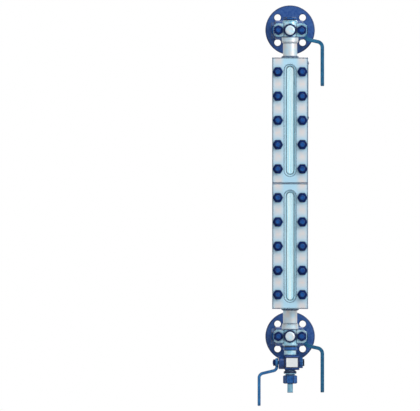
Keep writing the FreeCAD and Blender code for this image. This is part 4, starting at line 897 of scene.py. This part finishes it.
def make_ringed_steel(name, place, coating):
    """Clear passivated steel whose ring carries a blue coating, as the fasteners do."""
    material, tree = start(name)
    pale = drift(tree, 9 * MM, *PASSIVATED)
    ring = within(tree, "Z", *place)
    banded = add(
        tree,
        "ShaderNodeMix",
        {"data_type": "RGBA", 7: linear(coating)},
        {0: (ring, "Result"), 6: (pale, 2)},
    )
    edged = shaded_and_lined(tree, banded, "#0C2C58")
    tooled = skin(tree, 1.6 * MM, 2, EVEN, (0.28, 0.4))
    end(tree, {"Metallic": 0.2, "Specular IOR Level": 0.3}, {"Base Color": (edged, 2), **tooled})
    return material


nipple_steel = make_ringed_steel(
    "passivated_nipple_with_coated_collar", NIPPLE_COLLAR, "#05173C"
)
adapter_steel = make_ringed_steel(
    "passivated_adapter_with_coated_ring", ADAPTER_RING, "#2E66AA"
)


def make_sight_glass():
    """Pressed borosilicate in front of silver prisms, which throw the room's light back: pale cyan,
    bright and glossy."""
    material, tree = start("pressed_borosilicate_glass")
    streaks = grain(tree, 3 * MM, 1, (1, 1, 40))
    share = add(
        tree,
        "ShaderNodeMapRange",
        {"From Min": 0.35, "From Max": 0.65},
        {"Value": (streaks, "Fac")},
    )
    colour = add(
        tree,
        "ShaderNodeMix",
        {"data_type": "RGBA", 6: linear("#BEEFFF"), 7: linear("#E4FBFF")},
        {0: (share, "Result")},
    )
    edged = shaded_and_lined(tree, colour, "#1C5A7E", 3 * MM, 0.5 * MM)
    end(
        tree,
        {"Roughness": 0.18, "IOR": 1.47, "Metallic": 0.75, "Transmission Weight": 0.1},
        {"Base Color": (edged, 2)},
    )
    return material


sight_glass = make_sight_glass()


def make_cap_coating():
    """The drain's gland cap: worn coating, with its boss turned bare and nearly white and the
    rim of its end face rubbed to pale metal."""
    material, tree = start("worn_coating_with_turned_end")
    worn = drift(tree, 4 * MM, *WORN_COATING)
    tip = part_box("drain_cap")[1].x
    end_face = beyond(tree, "X", tip - CAP_FACE_BACK)
    dark = add(
        tree,
        "ShaderNodeMix",
        {"data_type": "RGBA", 7: linear(DARK_BLUE)},
        {0: (end_face, "Result"), 6: (worn, 2)},
    )
    radius = crosswise(tree, along(tree, "Y", GAUGE_Y), along(tree, "Z", DRAIN.z))
    outside = add(
        tree,
        "ShaderNodeMapRange",
        {"From Min": CAP_RUBBED_FROM, "From Max": CAP_RUBBED_FROM + 0.1 * MM},
        {"Value": (radius, "Value")},
    )
    rim = add(
        tree,
        "ShaderNodeMath",
        {"operation": "MULTIPLY"},
        {0: (outside, "Result"), 1: (end_face, "Result")},
    )
    rubbed = add(
        tree,
        "ShaderNodeMix",
        {"data_type": "RGBA", 7: linear("#8CCBEC")},
        {0: (rim, "Value"), 6: (dark, 2)},
    )
    bare = beyond(tree, "X", tip - CAP_BOSS_END)
    colour = add(
        tree,
        "ShaderNodeMix",
        {"data_type": "RGBA", 7: linear("#EAF4F8")},
        {0: (bare, "Result"), 6: (rubbed, 2)},
    )
    edged = shaded_and_lined(tree, colour, DARK_BLUE, 2 * MM, 1.2 * MM)
    peel = skin(tree, 1.4 * MM, 1, EVEN, (0.36, 0.48))
    end(tree, {"Specular IOR Level": 0.2}, {"Base Color": (edged, 2), **peel})
    return material


cap_coating = make_cap_coating()

NODE_FINISH = {
    "gauge_body": satin_steel,
    "nameplate": plate_metal,
    "nameplate_pins": stainless,
    "top_plug": blue_hexagon,
    "top_plug_seal": soft_copper,
    "drain_adapter": adapter_steel,
    "drain_seal": soft_copper,
    "drain_body": drain_enamel,
    "drain_plug": stainless,
    "drain_packing_sleeve": packing,
    "drain_gland_ring": stainless,
    "drain_cap": cap_coating,
    "drain_lever": drain_teal,
    "drain_lever_nut": blue_fastener,
    "drain_nipple": nipple_steel,
    "drain_union_nut": blue_hexagon,
    "drain_tail_pipe": stainless,
}
for place in PLACES:
    NODE_FINISH.update({
        f"{place}_cover": cover_steel,
        f"{place}_glass": sight_glass,
        f"{place}_gasket": graphite,
        f"{place}_cushion": graphite,
        f"{place}_u_bolts": rod_steel,
        f"{place}_cover_nuts": blue_fastener,
        f"{place}_tube": satin_steel,
        f"{place}_collar": satin_steel,
        f"{place}_head": pale_steel,
        f"{place}_front_plug": plug_steel,
        f"{place}_front_plug_seal": soft_copper,
        f"{place}_head_studs": rod_steel,
        f"{place}_head_nuts": blue_fastener,
        f"{place}_joint_ring": graphite,
        f"{place}_cock_body": blue_enamel,
        f"{place}_cock_plug": stainless,
        f"{place}_packing_sleeve": packing,
        f"{place}_gland_ring": stainless,
        f"{place}_cock_cap": blue_hexagon,
        f"{place}_lever": teal_enamel,
        f"{place}_lever_nut": blue_fastener,
    })


def finish_piece(piece, material):
    """The piece has this one material all over."""
    piece.data.materials.clear()
    piece.data.materials.append(material)


for node, material in NODE_FINISH.items():
    finish_piece(NODES[node], material)


# Modelling by hand, one operator after another; points nearer than these are one point, while a
# piece is made and after it was carved

SAME_POINT = 0.001 * MM
SMALLEST = 0.005 * MM
TURNED_STEPS = 48


def deselect():
    """Nothing is selected."""
    bpy.ops.object.select_all(action="DESELECT")


def pick(piece):
    """Only this piece is selected, and it is the active one."""
    deselect()
    piece.select_set(True)
    bpy.context.view_layer.objects.active = piece


def edit(piece):
    """Edit mode, on this piece alone."""
    pick(piece)
    bpy.ops.object.mode_set(mode="EDIT")


def leave():
    """Back to object mode."""
    bpy.ops.object.mode_set(mode="OBJECT")


def named(name):
    """The primitive that was added last, with its name."""
    piece = bpy.context.object
    piece.name = name
    piece.data.name = name
    return piece


def draw_line(name, points):
    """An open line through the points, pulled out of a single vertex."""
    deselect()
    bpy.ops.mesh.primitive_plane_add(size=MM, location=(0, 0, 0))
    piece = named(name)
    bpy.ops.object.mode_set(mode="EDIT")
    bpy.ops.mesh.merge(type="CENTER")
    bpy.ops.transform.translate(value=points[0])
    for before, after in zip(points, points[1:]):
        step = Vector(after) - Vector(before)
        bpy.ops.mesh.extrude_vertices_move(TRANSFORM_OT_translate={"value": step})
    return piece


def close_up():
    """Merges doubles and turns the faces outwards; in edit mode."""
    bpy.ops.mesh.select_all(action="SELECT")
    bpy.ops.mesh.remove_doubles(threshold=SAME_POINT)
    bpy.ops.mesh.normals_make_consistent(inside=False)


def turned(name, profile):
    """A closed profile of (radius, height) spun about the upright axis."""
    piece = draw_line(name, [(radius, 0, height) for radius, height in profile])
    bpy.ops.mesh.select_all(action="SELECT")
    bpy.ops.mesh.spin(steps=TURNED_STEPS, angle=TURN, center=(0, 0, 0), axis=(0, 0, 1))
    close_up()
    leave()
    return piece


def settle(piece):
    """The object ends at the origin, unturned, with its place in its mesh."""
    pick(piece)
    bpy.ops.object.transform_apply(location=True, rotation=True, scale=True)


def apply_modifier(piece, kind, **settings):
    """Adds a modifier with these settings and applies it."""
    pick(piece)
    modifier = piece.modifiers.new(kind.title(), kind)
    for name, value in settings.items():
        setattr(modifier, name, value)
    bpy.ops.object.modifier_apply(modifier=modifier.name)


def carve(piece, tool, operation):
    """Cuts the piece with a tool, which is used up."""
    apply_modifier(piece, "BOOLEAN", object=tool, operation=operation, solver="EXACT")
    bpy.data.objects.remove(tool)


def weed(piece):
    """Merges points and edges too small to be meant, which carving leaves behind."""
    edit(piece)
    bpy.ops.mesh.select_all(action="SELECT")
    bpy.ops.mesh.remove_doubles(threshold=SMALLEST)
    bpy.ops.mesh.dissolve_degenerate(threshold=SMALLEST)
    bpy.ops.mesh.normals_make_consistent(inside=False)
    leave()


def copies(model, places):
    """Copies of a piece, each with its own mesh, joined into one at the origin."""
    weed(model)
    made = []
    for place, turn in places:
        twin = model.copy()
        twin.data = model.data.copy()
        bpy.context.scene.collection.objects.link(twin)
        twin.location = place
        twin.rotation_euler = turn
        made.append(twin)
    bpy.data.objects.remove(model)
    deselect()
    for twin in made:
        twin.select_set(True)
    bpy.context.view_layer.objects.active = made[0]
    bpy.ops.object.join()
    settle(made[0])
    return made[0]


def both_sides(across, y, z, turn):
    """Two places, on the left and on the right, with the same turn."""
    return [((side * across, y, z), turn) for side in (-1, 1)]


def bolt_rows(low, high, tall):
    """The heights of a section's rows, where pieces this tall fill a box."""
    pitch = (high.z - low.z - tall) / (BOLT_ROWS - 1)
    return [low.z + tall / 2 + pitch * row for row in range(BOLT_ROWS)]


def smooth(piece, degrees=30):
    """Shades the piece smooth, apart from edges sharper than this."""
    pick(piece)
    bpy.ops.object.shade_smooth_by_angle(angle=math.radians(degrees))


def stand_for(piece, name, node, body):
    """The piece takes a node's place, finish and body."""
    piece.name = name
    piece.data.name = name
    smooth(piece)
    finish_piece(piece, NODE_FINISH[node])
    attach(piece, body)
    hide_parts(node)
    return piece


# Threads, studs and U-bolts

THREAD_STEPS = 20
THREAD_SPARE = 0.2 * MM
U_BOLT_BEND = 14 * MM
U_BOLT_THREADED = 14 * MM
ROD_SIDES = 24
BEND_STEPS = 10


def thread(name, length):
    """A rolled M12 thread that stands on the origin: one tooth screwed upwards, cut square, with
    its tip chamfered."""
    pitch = M12_PITCH
    crest = M12 / 2
    root = crest - THREAD_DEPTH
    tooth = [
        (root, 0, 0),
        (root, 0, pitch / 4),
        (crest, 0, pitch * 9 / 16),
        (crest, 0, pitch * 11 / 16),
        (root, 0, pitch),
    ]
    piece = draw_line(name, tooth)
    leave()
    rounds = math.ceil(length / pitch) + 3
    apply_modifier(
        piece,
        "SCREW",
        axis="Z",
        angle=TURN,
        screw_offset=pitch,
        iterations=rounds,
        steps=THREAD_STEPS,
        render_steps=THREAD_STEPS,
        use_merge_vertices=True,
        merge_threshold=SAME_POINT,
    )
    edit(piece)
    bottom = 1.5 * pitch
    spare = THREAD_SPARE
    for height, upwards in ((bottom - spare, -1), (bottom + length + spare, 1)):
        bpy.ops.mesh.select_all(action="SELECT")
        bpy.ops.mesh.bisect(
            plane_co=(0, 0, height), plane_no=(0, 0, upwards), use_fill=True, clear_outer=True
        )
    close_up()
    bpy.ops.transform.translate(value=(0, 0, -bottom))
    leave()
    tip = turned(
        "tip_form",
        [
            (0, 0),
            (root - spare, 0),
            (crest + spare, THREAD_DEPTH + 2 * spare),
            (crest + spare, length),
            (0, length),
        ],
    )
    carve(piece, tip, "INTERSECT")
    return piece


def make_u_bolts(place):
    """One rod, pulled out of a circle and spun round two corners, with a thread on each leg."""
    node = f"{place}_u_bolts"
    low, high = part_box(node)
    leg = high.x - M12 / 2
    back = high.y - M12 / 2
    bend = U_BOLT_BEND
    rod_from = low.y + U_BOLT_THREADED - THREAD_SPARE
    deselect()
    bpy.ops.mesh.primitive_circle_add(
        vertices=ROD_SIDES,
        radius=M12 / 2,
        location=(-leg, rod_from, 0),
        rotation=(QUARTER, 0, 0),
    )
    rod = named(node + "_rod")
    bpy.ops.object.mode_set(mode="EDIT")
    run = back - bend - rod_from
    bpy.ops.mesh.extrude_region_move(TRANSFORM_OT_translate={"value": (0, run, 0)})
    bpy.ops.mesh.spin(
        steps=BEND_STEPS, angle=QUARTER, center=(-leg + bend, back - bend, 0), axis=(0, 0, 1)
    )
    bpy.ops.mesh.extrude_region_move(
        TRANSFORM_OT_translate={"value": (2 * (leg - bend), 0, 0)}
    )
    bpy.ops.mesh.spin(
        steps=BEND_STEPS, angle=QUARTER, center=(leg - bend, back - bend, 0), axis=(0, 0, 1)
    )
    bpy.ops.mesh.extrude_region_move(TRANSFORM_OT_translate={"value": (0, -run, 0)})
    bpy.ops.mesh.select_all(action="SELECT")
    bpy.ops.mesh.fill_holes(sides=0)
    close_up()
    leave()
    settle(rod)
    model = thread(node + "_thread", U_BOLT_THREADED)
    threads = copies(model, both_sides(leg, low.y, 0, (-QUARTER, 0, 0)))
    pick(rod)
    threads.select_set(True)
    bpy.ops.object.join()
    places = [((0, 0, level), (0, 0, 0)) for level in bolt_rows(low, high, M12)]
    stand_for(copies(rod, places), f"{place}_threaded_u_bolts", node, "gauge")


def make_studs(place):
    """Two studs, threaded from end to end."""
    node = f"{place}_head_studs"
    low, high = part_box(node)
    stud = thread(node + "_thread", high.y - low.y)
    level = (low.z + high.z) / 2
    places = both_sides(high.x - M12 / 2, low.y, level, (-QUARTER, 0, 0))
    stand_for(copies(stud, places), f"{place}_threaded_studs", node, "gauge")


# Hexagon nuts: washer face, both rims turned to thirty degrees, countersunk thread

EDGE_BREAK = 0.15 * MM
WASHER_FACE = 0.3 * MM
COUNTERSINK_OVER = 0.1 * MM


def hexagon_nut(name, flats, thick):
    """A nut that stands on the origin: a hexagonal bar, turned, bored, and its edges broken."""
    corner = flats / math.sqrt(3)
    deselect()
    bpy.ops.mesh.primitive_cylinder_add(
        vertices=6, radius=corner, depth=thick, location=(0, 0, thick / 2)
    )
    nut = named(name)
    settle(nut)
    rim = 0.475 * flats
    wide = 0.6 * flats
    fall = (wide - rim) * math.tan(math.radians(30))
    lens = turned(
        "nut_form",
        [
            (0, 0),
            (rim, 0),
            (rim, WASHER_FACE),
            (wide, WASHER_FACE + fall),
            (wide, thick - fall),
            (rim, thick),
            (0, thick),
        ],
    )
    carve(nut, lens, "INTERSECT")
    hole = NUT_BORE / 2
    over = COUNTERSINK_OVER
    lead = M12 / 2 - hole + over
    drill = turned(
        "nut_thread_form",
        [
            (0, -over),
            (hole + lead + over, -over),
            (hole, lead),
            (hole, thick - lead),
            (hole + lead + over, thick + over),
            (0, thick + over),
        ],
    )
    carve(nut, drill, "DIFFERENCE")
    weed(nut)
    apply_modifier(
        nut,
        "BEVEL",
        width=EDGE_BREAK,
        segments=2,
        limit_method="ANGLE",
        angle_limit=math.radians(35),
    )
    return nut


def make_cover_nuts(place):
    """Ten nuts in two columns, each with a corner to the side."""
    node = f"{place}_cover_nuts"
    low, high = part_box(node)
    flats = COVER_NUT_FLATS
    nut = hexagon_nut(node + "_one", flats, high.y - low.y)
    leg = high.x - flats / math.sqrt(3)
    corner_sideways = (QUARTER, QUARTER, 0)
    places = []
    for level in bolt_rows(low, high, flats):
        places += both_sides(leg, high.y, level, corner_sideways)
    stand_for(copies(nut, places), f"{place}_hexagon_nuts", node, "gauge")


def make_head_nuts(place):
    """Two nuts, each with a corner at the top."""
    node = f"{place}_head_nuts"
    low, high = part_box(node)
    nut = hexagon_nut(node + "_one", HEAD_NUT_FLATS, high.y - low.y)
    level = (low.z + high.z) / 2
    corner_up = (QUARTER, 0, 0)
    places = both_sides(high.x - HEAD_NUT_FLATS / 2, high.y, level, corner_up)
    stand_for(copies(nut, places), f"{place}_stud_nuts", node, "gauge")


# Weld beads where the connecting tubes meet the square body

BEAD_SCALES = 42
BEAD_RADIUS = 16.3 * MM
BEAD_LEVEL = 0.9 * MM
BEAD_MELT = 0.4 * MM
DROP_RADIUS = 1.9 * MM
DROP_SHAPE = (1.1, 0.75, 1.0)


def make_weld_bead(place):
    """Overlapping drops laid round the tube, melted together by a fine remesh."""
    level = GAUGE_HIGH.z + BEAD_LEVEL if place == "upper" else GAUGE_LOW.z - BEAD_LEVEL
    deselect()
    bpy.ops.mesh.primitive_uv_sphere_add(segments=16, ring_count=10, radius=DROP_RADIUS)
    drop = named(f"{place}_weld_drop")
    bpy.ops.object.mode_set(mode="EDIT")
    bpy.ops.mesh.select_all(action="SELECT")
    bpy.ops.transform.resize(value=DROP_SHAPE)
    leave()
    places = []
    for index in range(BEAD_SCALES):
        angle = TURN * index / BEAD_SCALES
        spot = (BEAD_RADIUS * math.cos(angle), GAUGE_Y + BEAD_RADIUS * math.sin(angle), level)
        places.append((spot, (0, 0, angle)))
    bead = copies(drop, places)
    apply_modifier(bead, "REMESH", mode="VOXEL", voxel_size=BEAD_MELT)
    apply_modifier(bead, "SMOOTH", factor=0.5, iterations=3)
    bead.name = f"{place}_weld_bead"
    bead.data.name = bead.name
    smooth(bead, 60)
    finish_piece(bead, satin_steel)
    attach(bead, "gauge")


# Floor and background


def seen_directly(tree):
    """The light path, and one on it where the camera or a reflection looks, or else nought."""
    path = add(tree, "ShaderNodeLightPath")
    seen = add(
        tree,
        "ShaderNodeMath",
        {"operation": "MAXIMUM"},
        {0: (path, "Is Camera Ray"), 1: (path, "Is Glossy Ray")},
    )
    return path, seen


def make_floor():
    """Matt painted boards under the part: pale all over, lifted a little towards white for the
    camera and for reflections, and with the part's shadow on them."""
    deselect()
    level = CAD_BOX[0].z - FLOOR_GAP
    bpy.ops.mesh.primitive_plane_add(size=FLOOR_WIDTH, location=(0, 0, level))
    floor = named("studio_floor")
    material, tree = start("matt_painted_floor")
    colour = drift(tree, 400 * MM, "#C4C5C6", "#C9C9C8")
    seen = seen_directly(tree)[1]
    pale = add(
        tree, "ShaderNodeMath", {"operation": "MULTIPLY", 1: FLOOR_WHITE}, {0: (seen, "Value")}
    )
    end(
        tree,
        {"Roughness": 0.8, "Emission Color": linear("#FFFFFF")},
        {"Base Color": (colour, 2), "Emission Strength": (pale, "Value")},
    )
    finish_piece(floor, material)


def make_world():
    """White where the camera, a reflection or the glass sees it, and a soft light elsewhere."""
    world = bpy.data.worlds.new("studio")
    bpy.context.scene.world = world
    world.use_nodes = True
    tree = world.node_tree
    tree.nodes.clear()
    path, seen = seen_directly(tree)
    through = add(
        tree,
        "ShaderNodeMath",
        {"operation": "MAXIMUM"},
        {0: (seen, "Value"), 1: (path, "Is Transmission Ray")},
    )
    soft = add(
        tree, "ShaderNodeBackground", {"Color": linear("#F2F6FA"), "Strength": ROOM_LIGHT}
    )
    white = add(tree, "ShaderNodeBackground", {"Color": linear("#FFFFFF"), "Strength": 1.0})
    both = add(
        tree,
        "ShaderNodeMixShader",
        links={0: (through, "Value"), 1: (soft, "Background"), 2: (white, "Background")},
    )
    add(tree, "ShaderNodeOutputWorld", links={"Surface": (both, "Shader")})


make_camera()
soft_lamp("key_from_the_right", (1.8, -1.9, 1.2), 38, 1.1)
soft_lamp("high_in_front", (0.25, -2.2, 2.8), 20, 1.0)
soft_lamp("fill_from_the_left", (-2.4, -1.8, 1.0), 2.5, 1.6)
soft_lamp("rim_from_behind", (0.6, 2.4, 2.2), 30, 1.5)
make_floor()
make_world()
bpy.context.scene.view_settings.view_transform = "Standard"

for place in PLACES:
    make_u_bolts(place)
    make_studs(place)
    make_cover_nuts(place)
    make_head_nuts(place)
    make_weld_bead(place)
